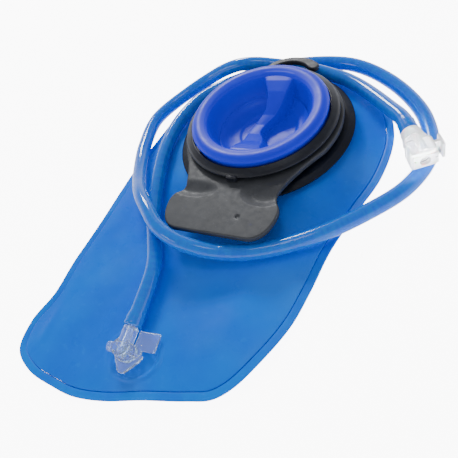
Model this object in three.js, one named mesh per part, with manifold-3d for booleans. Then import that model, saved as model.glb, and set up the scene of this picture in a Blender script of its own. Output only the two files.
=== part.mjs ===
// Hydration bladder: welded film pouch, screw cap in a handled collar, drink tube and quick coupling.
// Millimetres, +Z up. The pouch lies flat on z = 0; the collar is towards +Y, the outlet towards -Y.
import * as THREE from 'three';
import { mergeVertices } from 'three/addons/utils/BufferGeometryUtils.js';
import Module from 'manifold-3d';

const wasm = await Module();
wasm.setup();

// ---- driving dimensions ------------------------------------------------------------------------
const GAP = 0.3; // clearance between pieces that touch
const TURN_STEPS = 40; // facets round a turned piece

// pouch
const FILM = 0.8; // film thickness
const WELD_WIDTH = 6;
const WELD_THICKNESS = 2 * FILM;
const OUTLINE_STEPS = 60;
const FILM_RINGS = 8;
const FILM_BOTTOM = FILM + GAP; // underside of the front film where it meets the weld
const PILLOW = 2.6; // height that the empty pouch stays open
const PILLOW_EDGE = 30; // distance over which the film rises from the weld
const COLLAR_RISE = 6.9; // extra height at the collar
const COLLAR_SLOPE = 30; // distance over which that height fades
const OUTLINE = [
  [86, 50], [82, 84], [68, 110], [46, 128], [18, 138], [0, 140], [-26, 136], [-52, 124], [-73, 100],
  [-84, 75], [-86, 45], [-86, 12], [-82, -32], [-79, -64], [-74, -92], [-77, -114], [-71, -131],
  [-54, -139], [-34, -140], [-18, -139], [2, -133], [24, -123], [45, -114], [57, -108], [65, -98],
  [72, -80], [77, -58], [78, -35], [78, -8], [82, 20],
];

// collar and cap, turned about the fill axis
const FILL = { x: 4, y: 60 };
const COLLAR_TURN = THREE.MathUtils.degToRad(7); // the handle points a little towards +X
const NECK_INNER = 37.5;
const NECK_OUTER = 40;
const NECK_TOP = 29;
const NECK_BOTTOM = 9;
const FILM_HOLE = 41;
const FLANGE = { radius: 59, bottom: 12, edge: 13.4, top: 15.2 };
const SHOULDER = { radius: 44, top: 18.2 };
const PLATE = { bottom: 18.5, top: 22, bore: 40.4, radius: 53 };
const PADDLE = { waist: 31, waistY: -57, wide: 36.5, wideY: -72, corner: 23, end: -90.5 };
const HOOK = { halfWidth: 2.3, tip: 3.4 };
const RING = { bore: 40.4, base: 46.5, radius: 51.1, lip: 45.9, bottom: PLATE.top + GAP, top: 28.2 };
const THREAD = { lead: 6, starts: 2, turns: 0.42, radius: 0.75, bottom: 25.2 };
const CAP = { radius: 45.3, crest: 33.6, mouth: 35.1, plug: 36.4, floor: 14, bottom: 12, skirtBottom: 24.4 };
const SEAL = { inner: 37.9, outer: 39.8, bottom: NECK_TOP + GAP, top: 30.2 };
const O_RING = { radius: 36.25, section: 0.95, height: 21 };

// outlet in the front film, and the quick coupling on the tube's far end
const OUTLET = { x: 0, y: -106, turn: THREE.MathUtils.degToRad(13), axisHeight: 9.8 };
const COUPLING = { x: 96.2, y: 71.8, z: 18.9, turn: Math.atan2(-0.8, 0.6), scale: 0.8 };
const LATCH_TRAVEL = 1.8; // in the coupling's own size, before its scale

// drink tube
const TUBE = { outer: 4.75, inner: 3.18, steps: 64, sides: 8 };
const TUBE_ROUTE = [
  [-13.5, -56, 10.2], [-24, -40, 10.6], [-35.5, -24.5, 11], [-50.5, 2, 11.5], [-63, 31, 11.8], [-68.5, 58, 11.4],
  [-65.5, 83, 10.9], [-57, 98, 10.5], [-46, 109.5, 10.1], [-34.5, 120.5, 9.2], [-21, 130.5, 8], [-5, 137, 7.3],
  [15, 141, 7], [32, 141.5, 6.4], [51, 136, 5.7], [76, 120.5, 5.2], [97, 98, 5.1], [108, 70, 5.1],
  [104, 44, 5.4], [89, 18, 7.3], [66, -9.5, 9.8], [42, -27.5, 11.4], [22, -35.6, 13.4], [8, -38.8, 16.6],
  [-6, -39, 19.6], [-20, -35, 21.4], [-34, -26, 21.8], [-47.5, -16.2, 20], [-61, -3.5, 15], [-73, 11, 11],
  [-86, 32, 8], [-95, 62, 6.6], [-83.5, 92.5, 7.8], [-71, 105, 11.6], [-57, 111.5, 17], [-44, 115.6, 19.9],
  [-32, 119.6, 18.9], [-21, 123.2, 15.9], [-10, 125.7, 13.3], [2, 126.2, 12.5], [14, 125, 12.1], [25, 122.8, 11.8],
  [37, 119.4, 11.8], [50, 112.6, 12.6], [64, 102.6, 14.4], [77, 92, 16.6],
];

const FINISH = {
  film: { color: 0x0b86e6, roughness: 0.35, metalness: 0 },
  weld: { color: 0x1c95f0, roughness: 0.3, metalness: 0 },
  darkCollar: { color: 0x1d2430, roughness: 0.6, metalness: 0 },
  greyCollar: { color: 0x5d6166, roughness: 0.55, metalness: 0 },
  cap: { color: 0x1238d8, roughness: 0.25, metalness: 0 },
  seal: { color: 0x30343a, roughness: 0.8, metalness: 0 },
  clear: { color: 0xd4e6fb, roughness: 0.1, metalness: 0 },
  tube: { color: 0x5aa8f0, roughness: 0.2, metalness: 0 },
  white: { color: 0xf4f4f6, roughness: 0.35, metalness: 0 },
  steel: { color: 0xb8bcc2, roughness: 0.3, metalness: 1 },
};

// ---- solids -------------------------------------------------------------------------------------
// Turns a closed geometry into a solid with outward faces.
function solid(geometry) {
  const bare = geometry.clone();
  bare.deleteAttribute('normal');
  bare.deleteAttribute('uv');
  const merged = mergeVertices(bare, 1e-4);
  const source = merged.index.array;
  const position = merged.attributes.position;
  const corner = [new THREE.Vector3(), new THREE.Vector3(), new THREE.Vector3()];
  const triangles = [];
  let volume = 0;
  for (let i = 0; i < source.length; i += 3) {
    const [a, b, c] = source.slice(i, i + 3);
    if (a === b || b === c || c === a) continue;
    triangles.push(a, b, c);
    [a, b, c].forEach((vertex, k) => corner[k].fromBufferAttribute(position, vertex));
    volume += corner[0].dot(corner[1].clone().cross(corner[2]));
  }
  if (volume < 0) triangles.reverse();
  return new wasm.Manifold(new wasm.Mesh({
    numProp: 3,
    vertProperties: new Float32Array(position.array),
    triVerts: new Uint32Array(triangles),
  }));
}

function geometryOf(body) {
  const data = body.getMesh();
  const geometry = new THREE.BufferGeometry();
  geometry.setAttribute('position', new THREE.BufferAttribute(data.vertProperties, 3));
  geometry.setIndex(new THREE.BufferAttribute(data.triVerts, 1));
  geometry.computeVertexNormals();
  return geometry;
}

function piece(name, body, finish) {
  const mesh = new THREE.Mesh(geometryOf(body), new THREE.MeshStandardMaterial(finish));
  mesh.name = name;
  return mesh;
}

function join(bodies) {
  return bodies.reduce((sum, body) => sum.add(body));
}

function cut(body, tools) {
  return tools.reduce((rest, tool) => rest.subtract(tool), body);
}

// A profile of [radius, height] corners, turned about Z.
function turned(profile, steps = TURN_STEPS) {
  const points = profile.map(([r, z]) => new THREE.Vector2(r, z));
  const onAxis = profile[0][0] === 0 && profile[profile.length - 1][0] === 0;
  if (!onAxis) points.push(points[0].clone());
  return solid(new THREE.LatheGeometry(points, steps).rotateX(Math.PI / 2));
}

// The same, turned about the local X axis.
function turnedAlongX(profile, steps = TURN_STEPS / 2) {
  const points = profile.map(([x, r]) => new THREE.Vector2(r, x));
  const onAxis = profile[0][1] === 0 && profile[profile.length - 1][1] === 0;
  if (!onAxis) points.push(points[0].clone());
  return solid(new THREE.LatheGeometry(points, steps).rotateZ(-Math.PI / 2));
}

function plate(shape, bottom, top, curveSegments = 10) {
  const settings = { depth: top - bottom, bevelEnabled: false, curveSegments };
  return solid(new THREE.ExtrudeGeometry(shape, settings).translate(0, 0, bottom));
}

function block(low, high) {
  const size = high.map((value, k) => value - low[k]);
  const centre = high.map((value, k) => (value + low[k]) / 2);
  return solid(new THREE.BoxGeometry(...size).translate(...centre));
}

function rod(start, end, radius, steps = 20) {
  const from = new THREE.Vector3(...start);
  const along = new THREE.Vector3(...end).sub(from);
  const geometry = new THREE.CylinderGeometry(radius, radius, along.length(), steps);
  const up = new THREE.Vector3(0, 1, 0);
  geometry.applyQuaternion(new THREE.Quaternion().setFromUnitVectors(up, along.clone().normalize()));
  const middle = from.addScaledVector(along, 0.5);
  return solid(geometry.translate(middle.x, middle.y, middle.z));
}

// A ring of round section about Z.
function ringSection(radius, section, height, sides = 8) {
  const corner = (k) => {
    const angle = (2 * Math.PI * (k + 0.5)) / sides;
    return [radius + section * Math.cos(angle), height + section * Math.sin(angle)];
  };
  return Array.from({ length: sides }, (_, k) => corner(k));
}

class Helix extends THREE.Curve {
  constructor(radius, lead, turns, start = 0, bottom = 0) {
    super();
    Object.assign(this, { radius, lead, turns, start, bottom });
  }

  getPoint(t, target = new THREE.Vector3()) {
    const angle = this.start + 2 * Math.PI * this.turns * t;
    const height = this.bottom + this.lead * this.turns * t;
    return target.set(this.radius * Math.cos(angle), this.radius * Math.sin(angle), height);
  }
}

function circleShape(radius, sides) {
  const shape = new THREE.Shape();
  for (let k = 0; k < sides; k += 1) {
    const angle = (2 * Math.PI * (k + 0.5)) / sides;
    const draw = k === 0 ? 'moveTo' : 'lineTo';
    shape[draw](radius * Math.cos(angle), radius * Math.sin(angle));
  }
  shape.closePath();
  return shape;
}

function sweep(shape, path, steps) {
  return solid(new THREE.ExtrudeGeometry(shape, { steps, extrudePath: path, bevelEnabled: false }));
}

function coil(radius, wire, lead, turns) {
  return sweep(circleShape(wire, 5), new Helix(radius, lead, turns), Math.round(turns * 10));
}

// ---- pouch --------------------------------------------------------------------------------------
function outlinePoints() {
  const corners = OUTLINE.map(([x, y]) => new THREE.Vector3(x, y, 0));
  const curve = new THREE.CatmullRomCurve3(corners, true, 'centripetal');
  return curve.getSpacedPoints(OUTLINE_STEPS).slice(0, OUTLINE_STEPS);
}

// The outline moved inwards by a distance; it runs anticlockwise.
function inset(points, distance) {
  return points.map((point, i) => {
    const before = points[(i + points.length - 1) % points.length];
    const after = points[(i + 1) % points.length];
    const along = after.clone().sub(before).normalize();
    return new THREE.Vector3(point.x - along.y * distance, point.y + along.x * distance, 0);
  });
}

function edgeDistance(point, points) {
  const nearest = new THREE.Vector3();
  const distances = points.map((start, i) => {
    const edge = new THREE.Line3(start, points[(i + 1) % points.length]);
    return edge.closestPointToPoint(point, true, nearest).distanceTo(point);
  });
  return Math.min(...distances);
}

// Height of the front film's upper face above the ground.
function filmTop(point, rim) {
  const t = Math.min(1, edgeDistance(point, rim) / PILLOW_EDGE);
  const fromHole = Math.hypot(point.x - FILL.x, point.y - FILL.y) - FILM_HOLE;
  const rise = COLLAR_RISE * Math.exp(-((fromHole / COLLAR_SLOPE) ** 2));
  return FILM_BOTTOM + FILM + t * (2 - t) * (PILLOW + rise);
}

function outlineShape(points) {
  return new THREE.Shape(points.map((point) => new THREE.Vector2(point.x, point.y)));
}

function weldBorder(outline) {
  const shape = outlineShape(outline);
  shape.holes.push(new THREE.Path(inset(outline, WELD_WIDTH).map((p) => new THREE.Vector2(p.x, p.y))));
  return piece('perimeter_weld', plate(shape, 0, WELD_THICKNESS), FINISH.weld);
}

function backFilm(rim) {
  return piece('bag_back_film', plate(outlineShape(rim), 0, FILM), FINISH.film);
}

// Rings of points run from the fill hole to the weld, once for each face of the film.
function frontFilm(rim) {
  const count = rim.length;
  const positions = [];
  for (let ring = 0; ring <= FILM_RINGS; ring += 1) {
    for (const edge of rim) {
      const away = new THREE.Vector3(edge.x - FILL.x, edge.y - FILL.y, 0).normalize();
      const hole = new THREE.Vector3(FILL.x, FILL.y, 0).addScaledVector(away, FILM_HOLE);
      const point = hole.lerp(edge, ring / FILM_RINGS);
      positions.push([point.x, point.y, filmTop(point, rim)]);
    }
  }
  const faceSize = positions.length;
  const lower = positions.map(([x, y, z]) => [x, y, z - FILM]);
  const index = [];
  const quad = (a, b, c, d) => index.push(a, b, c, a, c, d);
  for (let j = 0; j < count; j += 1) {
    const k = (j + 1) % count;
    for (let ring = 0; ring < FILM_RINGS; ring += 1) {
      const inner = ring * count;
      const outer = inner + count;
      quad(inner + j, outer + j, outer + k, inner + k);
      quad(faceSize + inner + k, faceSize + outer + k, faceSize + outer + j, faceSize + inner + j);
    }
    const last = FILM_RINGS * count;
    quad(k, faceSize + k, faceSize + j, j);
    quad(last + j, faceSize + last + j, faceSize + last + k, last + k);
  }
  const geometry = new THREE.BufferGeometry();
  const flat = new Float32Array(positions.concat(lower).flat());
  geometry.setAttribute('position', new THREE.BufferAttribute(flat, 3));
  geometry.setIndex(index);
  const outletHole = rod([OUTLET.x, OUTLET.y, -1], [OUTLET.x, OUTLET.y, 20], 6);
  return piece('bag_front_film', cut(solid(geometry), [outletHole]), FINISH.film);
}

function pouch() {
  const outline = outlinePoints();
  const rim = inset(outline, WELD_WIDTH + GAP);
  const group = new THREE.Group();
  group.add(weldBorder(outline), backFilm(rim), frontFilm(rim));
  return group;
}

// ---- collar -------------------------------------------------------------------------------------
function threadRibs(radius, bottom) {
  return Array.from({ length: THREAD.starts }, (_, k) => {
    const start = (2 * Math.PI * k) / THREAD.starts;
    const path = new Helix(radius, THREAD.lead, THREAD.turns, start, bottom);
    return sweep(circleShape(THREAD.radius, 6), path, 18);
  });
}

function portNeck() {
  const neck = turned([
    [NECK_INNER, NECK_BOTTOM], [NECK_OUTER, NECK_BOTTOM], [NECK_OUTER, FLANGE.bottom],
    [FLANGE.radius - 1.5, FLANGE.bottom], [FLANGE.radius, FLANGE.bottom + 0.5], [FLANGE.radius, FLANGE.edge],
    [FLANGE.radius - 4, FLANGE.top], [SHOULDER.radius, FLANGE.top + 0.6], [SHOULDER.radius, SHOULDER.top],
    [NECK_OUTER, SHOULDER.top], [NECK_OUTER, NECK_TOP], [NECK_INNER, NECK_TOP],
  ]);
  return piece('port_neck', join([neck, ...threadRibs(NECK_OUTER + 0.15, THREAD.bottom)]), FINISH.darkCollar);
}

function paddleShape() {
  const p = PADDLE;
  const join1 = THREE.MathUtils.degToRad(-24);
  const shape = new THREE.Shape();
  shape.moveTo(p.corner, p.end);
  shape.bezierCurveTo(p.corner + 7, p.end, p.wide - 0.5, p.wideY - 12, p.wide, p.wideY);
  shape.bezierCurveTo(p.wide, p.wideY + 8, p.waist, p.waistY - 7, p.waist, p.waistY);
  const rimX = PLATE.radius * Math.cos(join1);
  const rimY = PLATE.radius * Math.sin(join1);
  shape.quadraticCurveTo(p.waist + 3, p.waistY + 14, rimX, rimY);
  shape.absarc(0, 0, PLATE.radius, join1, Math.PI - join1, false);
  shape.quadraticCurveTo(-p.waist - 3, p.waistY + 14, -p.waist, p.waistY);
  shape.bezierCurveTo(-p.waist, p.waistY - 7, -p.wide, p.wideY + 8, -p.wide, p.wideY);
  shape.bezierCurveTo(-p.wide + 0.5, p.wideY - 12, -p.corner - 7, p.end, -p.corner, p.end);
  shape.closePath();
  return shape;
}

// The hanger hook is a flat C that starts on the plate's rim and stops short of it again.
function hookShape() {
  const centre = [[-18, 48], [-15.5, 55], [-9, 61.5], [1, 64.2], [11, 62.2], [18, 57.4]];
  const curve = new THREE.SplineCurve(centre.map(([x, y]) => new THREE.Vector2(x, y)));
  const steps = 16;
  const sides = [[], []];
  for (let i = 0; i <= steps; i += 1) {
    const t = i / steps;
    const point = curve.getPoint(t);
    const along = curve.getTangent(t);
    const half = THREE.MathUtils.lerp(HOOK.halfWidth, HOOK.tip, THREE.MathUtils.smoothstep(t, 0.6, 1));
    sides[0].push(new THREE.Vector2(point.x - along.y * half, point.y + along.x * half));
    sides[1].unshift(new THREE.Vector2(point.x + along.y * half, point.y - along.x * half));
  }
  return new THREE.Shape([...sides[0], ...sides[1]]);
}

function handlePlate() {
  const outline = join([
    plate(paddleShape(), PLATE.bottom, PLATE.top, 8),
    plate(hookShape(), PLATE.bottom, PLATE.top),
  ]);
  const bore = turned([[0, 0], [PLATE.bore, 0], [PLATE.bore, 40], [0, 40]]);
  return piece('handle_plate', cut(outline, [bore]), FINISH.greyCollar);
}

// The ring clamps the plate and hides the cap's skirt; its tab marks the closed position.
function collarRing() {
  const ring = turned([
    [RING.bore, RING.bottom], [RING.base, RING.bottom], [RING.base, RING.bottom + 1.2],
    [RING.radius - 0.8, RING.bottom + 1.2], [RING.radius, RING.bottom + 2], [RING.radius, RING.bottom + 2.9],
    [RING.radius - 1.3, RING.bottom + 4.2], [RING.lip + 0.8, RING.top], [RING.lip, RING.top],
    [RING.lip, RING.bottom + 1.4], [RING.bore, RING.bottom + 1.4],
  ]);
  const tab = block([-3.4, -52.6, RING.bottom + 0.2], [3.4, -49, RING.bottom + 3.6]);
  return piece('collar_ring', join([ring, tab]), FINISH.greyCollar);
}

// ---- cap ----------------------------------------------------------------------------------------
function capBowl() {
  const skirtInner = 42.5;
  const skirtOuter = 44.9;
  const underside = 30.5;
  const groove = O_RING.section + GAP;
  return turned([
    [0, CAP.bottom], [30, CAP.bottom], [34.5, CAP.bottom + 1.5], [CAP.plug, CAP.bottom + 5],
    [CAP.plug, O_RING.height - groove], [O_RING.radius - groove, O_RING.height - groove],
    [O_RING.radius - groove, O_RING.height + groove], [CAP.plug, O_RING.height + groove],
    [CAP.plug, underside], [skirtInner, underside], [skirtInner, CAP.skirtBottom],
    [skirtOuter, CAP.skirtBottom], [skirtOuter, 29.2], [CAP.radius, 30.4], [CAP.radius - 0.5, 32],
    [43, 33.2], [40.5, CAP.crest], [37.8, 33.1], [CAP.mouth + 0.6, 31.4], [34.6, 29], [33.2, 21],
    [30.5, 15.8], [26, CAP.floor], [0, CAP.floor],
  ]);
}

// The grip is an S-shaped web across the bowl, low in the middle for the fingers.
function capGrip() {
  const centre = [[3, 35.2], [4.5, 24], [3.5, 12], [-1, 2], [-2.5, -8], [1.5, -20], [3, -35.2]];
  const widths = [13, 9.5, 7, 5.5, 6, 10, 15];
  const curve = new THREE.SplineCurve(centre.map(([x, y]) => new THREE.Vector2(x, y)));
  const steps = 18;
  const sides = [[], []];
  for (let i = 0; i <= steps; i += 1) {
    const t = i / steps;
    const place = t * (widths.length - 1);
    const low = Math.min(Math.floor(place), widths.length - 2);
    const half = THREE.MathUtils.lerp(widths[low], widths[low + 1], place - low) / 2;
    const point = curve.getPoint(t);
    const along = curve.getTangent(t);
    sides[0].push(new THREE.Vector2(point.x - along.y * half, point.y + along.x * half));
    sides[1].unshift(new THREE.Vector2(point.x + along.y * half, point.y - along.x * half));
  }
  const web = plate(new THREE.Shape([...sides[0], ...sides[1]]), CAP.floor - 0.8, 32);
  const saddle = new THREE.Shape();
  saddle.moveTo(-36, 0);
  saddle.lineTo(36, 0);
  saddle.lineTo(36, 31.2);
  saddle.quadraticCurveTo(22, 30, 10, 22.5);
  saddle.quadraticCurveTo(0, 17.5, -10, 20.5);
  saddle.quadraticCurveTo(-24, 28, -36, 31.2);
  saddle.closePath();
  const across = new THREE.ExtrudeGeometry(saddle, { depth: 60, bevelEnabled: false, curveSegments: 4 });
  const envelope = solid(across.translate(0, 0, -30).rotateX(Math.PI / 2).rotateZ(Math.PI / 2));
  const bowl = turned([[0, 0], [34.2, 0], [34.8, 32], [0, 32]]);
  return web.intersect(envelope).intersect(bowl);
}

function cap() {
  const ribs = threadRibs(42.35, THREAD.bottom + THREAD.lead / 4);
  const body = join([capBowl(), capGrip(), ...ribs]);
  return piece('cap_shell', body, FINISH.cap);
}

function capSeals() {
  const face = turned([
    [SEAL.inner, SEAL.bottom], [SEAL.outer, SEAL.bottom], [SEAL.outer, SEAL.top], [SEAL.inner, SEAL.top],
  ]);
  const ring = turned(ringSection(O_RING.radius, O_RING.section, O_RING.height));
  return [piece('cap_face_seal', face, FINISH.seal), piece('cap_o_ring', ring, FINISH.seal)];
}

// ---- outlet -------------------------------------------------------------------------------------
function outletFlange() {
  const shape = new THREE.Shape().absellipse(1, 1, 13, 9, 0, 2 * Math.PI, false, 0);
  const hole = rod([0, 0, -1], [0, 0, 9], 5.7);
  return piece('outlet_flange', cut(plate(shape, FILM + GAP, 2.2), [hole]), FINISH.clear);
}

// Boss, barb, side wing, wedge foot, rib and end plug are one clear moulding.
function outletElbow() {
  const height = OUTLET.axisHeight;
  const filmClear = 5.3;
  const wedge = new THREE.Shape();
  wedge.moveTo(-6.5, 4);
  wedge.lineTo(-5.5, -3);
  wedge.lineTo(0.5, -12);
  wedge.lineTo(4, -12);
  wedge.lineTo(11, -4);
  wedge.lineTo(9, 4);
  wedge.closePath();
  const rib = new THREE.Shape();
  rib.moveTo(0, filmClear);
  rib.lineTo(11.5, filmClear);
  rib.lineTo(11.5, filmClear + 1.8);
  rib.lineTo(2, height + 4.4);
  rib.lineTo(0, height + 4.4);
  rib.closePath();
  const ribSolid = new THREE.ExtrudeGeometry(rib, { depth: 1.6, bevelEnabled: false });
  ribSolid.rotateX(Math.PI / 2).translate(0, -1.2, 0);
  const barbEnd = 21;
  const body = join([
    rod([0, 0, 1.5], [0, 0, height + 3.6], 5.3, 24),
    rod([0, 0, height], [0, 12.4, height], 4.4, 20),
    rod([0, 12, height], [0, barbEnd, height], 2.3, 16),
    rod([-10, 0.5, height - 1.2], [0, 0.5, height - 1.2], 3, 16),
    plate(wedge, filmClear, filmClear + 2.4),
    block([4.5, 1.5, filmClear], [17.5, 12.5, filmClear + 1.9]),
    solid(ribSolid),
  ]);
  const passage = [rod([0, 0, -1], [0, 0, height], 3, 16), rod([0, 0, height], [0, barbEnd + 1, height], 1.5, 12)];
  return piece('outlet_elbow', cut(body, passage), FINISH.clear);
}

// ---- drink tube ---------------------------------------------------------------------------------
// Local points of the outlet and of the coupling, in the part's frame.
function place(anchor, x, y, z) {
  const point = new THREE.Vector3(x, y, 0).applyAxisAngle(new THREE.Vector3(0, 0, 1), anchor.turn);
  return new THREE.Vector3(anchor.x + point.x, anchor.y + point.y, z);
}

function drinkTube() {
  const start = [place(OUTLET, 0, 12.8, OUTLET.axisHeight), place(OUTLET, 0, 26, OUTLET.axisHeight)];
  const end = [place(COUPLING, -12, 0, COUPLING.z), place(COUPLING, -GAP, 0, COUPLING.z)];
  const middle = TUBE_ROUTE.map((point) => new THREE.Vector3(...point));
  const path = new THREE.CatmullRomCurve3([...start, ...middle, ...end], false, 'centripetal');
  const shape = circleShape(TUBE.outer, TUBE.sides);
  shape.holes.push(circleShape(TUBE.inner, TUBE.sides));
  return piece('drink_tube', sweep(shape, path, TUBE.steps), FINISH.tube);
}

// ---- quick coupling, along local +X -------------------------------------------------------------
function couplingBody() {
  const shell = turnedAlongX([
    [0, 4.8], [0, 5.8], [2.5, 6.2], [9, 8.6], [30, 8.6], [31, 7.8], [31, 5.6], [30.2, 5], [27.4, 5],
    [27.4, 6.15], [25.2, 6.15], [25.2, 5], [17.2, 5], [17.2, 3.6], [15.2, 3.6], [15.2, 5.6], [5, 5.6],
    [5, 4.8],
  ], 24);
  const housing = block([15, -9.5, -8], [27, 9.5, 8]);
  const bore = rod([14, 0, 0], [28, 0, 0], 7, 20);
  const slot = block([19.9, -12, -6.8], [22.5, 12, 6.8]);
  return piece('coupling_body', cut(join([cut(housing, [bore]), shell]), [slot]), FINISH.white);
}

function couplingTail() {
  const tail = turnedAlongX([
    [-9, 1.5], [-9, 2.1], [-6.4, 2.6], [-6.4, 2.2], [0.3, 2.2], [0.3, 4.5], [4.4, 4.5], [4.4, 1.7], [0.3, 1.5],
  ], 16);
  return piece('coupling_tail', tail, FINISH.white);
}

// A sliding plate with an offset hole; the thumb pad stands out of the housing's side.
function couplingLatch() {
  const sheet = block([20.2, -9.3, -6.4], [22.2, 13.4, 6.4]);
  const pad = block([15.5, 13.1, -6.8], [26.5, 15.3, 6.8]);
  const hole = rod([19, LATCH_TRAVEL, 0], [24, LATCH_TRAVEL, 0], 5.2, 20);
  return piece('coupling_latch', cut(join([sheet, pad]), [hole]), FINISH.white);
}

function couplingInsides() {
  const poppet = turnedAlongX([
    [5.8, 0], [5.8, 1.1], [11.2, 1.1], [11.2, 4.4], [12.8, 4.4], [12.8, 2.6], [16.6, 2.6], [17, 2.2], [17, 0],
  ], 16);
  const seal = turnedAlongX([[13.1, 2.9], [13.1, 4.2], [14.9, 4.2], [14.9, 2.9]], 16);
  const mouthRing = turnedAlongX(ringSection(5.2, 0.65, 26.3).map(([r, x]) => [x, r]), 20);
  const pushSpring = coil(2.9, 0.35, 1.5, 3.6);
  const poppetSpring = piece('poppet_spring', pushSpring, FINISH.steel);
  poppetSpring.rotation.y = Math.PI / 2;
  poppetSpring.position.x = 5.2;
  const latchSpring = piece('latch_spring', coil(1.6, 0.28, 0.9, 2.5), FINISH.steel);
  latchSpring.rotation.x = -Math.PI / 2;
  latchSpring.position.set(24.6, 10.2, 0);
  return [
    piece('coupling_poppet', poppet, FINISH.white), piece('poppet_seal', seal, FINISH.seal),
    piece('mouth_o_ring', mouthRing, FINISH.seal), poppetSpring, latchSpring,
  ];
}

// ---- assembly -----------------------------------------------------------------------------------
function collarAndCap() {
  const group = new THREE.Group();
  group.add(portNeck(), handlePlate(), collarRing(), cap(), ...capSeals());
  group.position.set(FILL.x, FILL.y, 0);
  group.rotation.z = COLLAR_TURN;
  return group;
}

function outlet() {
  const group = new THREE.Group();
  group.add(outletFlange(), outletElbow());
  group.position.set(OUTLET.x, OUTLET.y, 0);
  group.rotation.z = OUTLET.turn;
  return group;
}

function coupling() {
  const group = new THREE.Group();
  group.add(couplingBody(), couplingTail(), couplingLatch(), ...couplingInsides());
  group.position.set(COUPLING.x, COUPLING.y, COUPLING.z);
  group.rotation.z = COUPLING.turn;
  group.scale.setScalar(COUPLING.scale);
  return group;
}

const bladder = new THREE.Group();
bladder.add(pouch(), collarAndCap(), outlet(), drinkTube(), coupling());

export default bladder;
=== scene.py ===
"""Looks of a hydration bladder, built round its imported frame.

A welded film pouch lies on a pale floor. A screw cap sits in a handled collar at its top, and a
drink tube runs from a clear outlet elbow, round the collar, to a white quick coupling.
Lengths inside the classes are in millimetres, in each sub-assembly's own frame, as in the frame's
design; a Placement turns them into metres in the frame.
"""

import logging
import math
from dataclasses import dataclass
from enum import Enum
from typing import Callable, Iterable, Sequence

import bmesh
import bpy
import numpy as np
from mathutils import Matrix, Vector, noise
from mathutils.geometry import delaunay_2d_cdt


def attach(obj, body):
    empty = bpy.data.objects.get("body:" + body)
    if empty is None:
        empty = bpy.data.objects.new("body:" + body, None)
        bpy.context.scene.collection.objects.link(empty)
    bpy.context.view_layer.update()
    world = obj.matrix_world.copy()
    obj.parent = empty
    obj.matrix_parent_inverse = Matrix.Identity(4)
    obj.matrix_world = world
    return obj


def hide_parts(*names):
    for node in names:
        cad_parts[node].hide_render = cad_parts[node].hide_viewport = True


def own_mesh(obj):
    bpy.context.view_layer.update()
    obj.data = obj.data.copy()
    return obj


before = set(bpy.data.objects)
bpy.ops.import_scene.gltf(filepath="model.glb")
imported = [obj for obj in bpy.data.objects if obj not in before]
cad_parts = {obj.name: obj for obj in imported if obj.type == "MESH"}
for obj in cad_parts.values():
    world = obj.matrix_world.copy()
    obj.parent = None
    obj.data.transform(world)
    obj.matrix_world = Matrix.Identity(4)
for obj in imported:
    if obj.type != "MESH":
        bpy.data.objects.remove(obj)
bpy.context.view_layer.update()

LOG = logging.getLogger("bladder")
MM = 0.001
WAVE_RATE = 20  # radians that a wave texture turns through in a metre, at a scale of 1
Point = tuple[float, float]
Profile = Sequence[Point]
Rgb = tuple[float, float, float]
Tree = bpy.types.NodeTree
Socket = bpy.types.NodeSocket
Piece = bpy.types.Object
Height = Callable[[float, float, float, float], float]


class Body(Enum):
    """The frame's bodies that pieces ride on."""

    POUCH = "pouch"
    FACE_SEAL = "cap_face_seal"
    O_RING = "cap_o_ring"
    CAP = "cap"
    LATCH = "latch"
    POPPET = "poppet"


class Slot(Enum):
    """The record's material slots."""

    FILM = "film"
    WELD = "weld"
    DARK = "dark_collar"
    GREY = "grey_collar"
    CAP = "cap"
    SEAL = "seal"
    CLEAR = "clear_moulding"
    TUBE = "tube"
    WHITE = "white_moulding"
    STEEL = "spring_steel"


# ---- shape helpers ------------------------------------------------------------------------------
@dataclass(frozen=True)
class Placement:
    """Where a sub-assembly's own frame sits in the whole frame, in millimetres and degrees."""

    x: float = 0.0
    y: float = 0.0
    z: float = 0.0
    turn: float = 0.0
    scale: float = 1.0

    def rigid(self) -> Matrix:
        """The matrix from local metres to metres in the frame."""
        move = Matrix.Translation(Vector((self.x, self.y, self.z)) * MM)
        return move @ Matrix.Rotation(math.radians(self.turn), 4, "Z") @ Matrix.Scale(self.scale, 4)

    def matrix(self) -> Matrix:
        """The matrix from local millimetres to metres in the frame."""
        return self.rigid() @ Matrix.Scale(MM, 4)

    def point(self, x: float, y: float, z: float) -> Vector:
        """A local point in metres in the frame."""
        return self.matrix() @ Vector((x, y, z))


def smoothstep(low: float, high: float, value: float) -> float:
    """Rises smoothly from 0 at low to 1 at high."""
    t = min(1.0, max(0.0, (value - low) / (high - low)))
    return t * t * (3 - 2 * t)


def bell(distance: float, width: float) -> float:
    """A smooth hump: 1 in its middle and almost nothing two widths away."""
    return math.exp(-((distance / width) ** 2))


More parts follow.
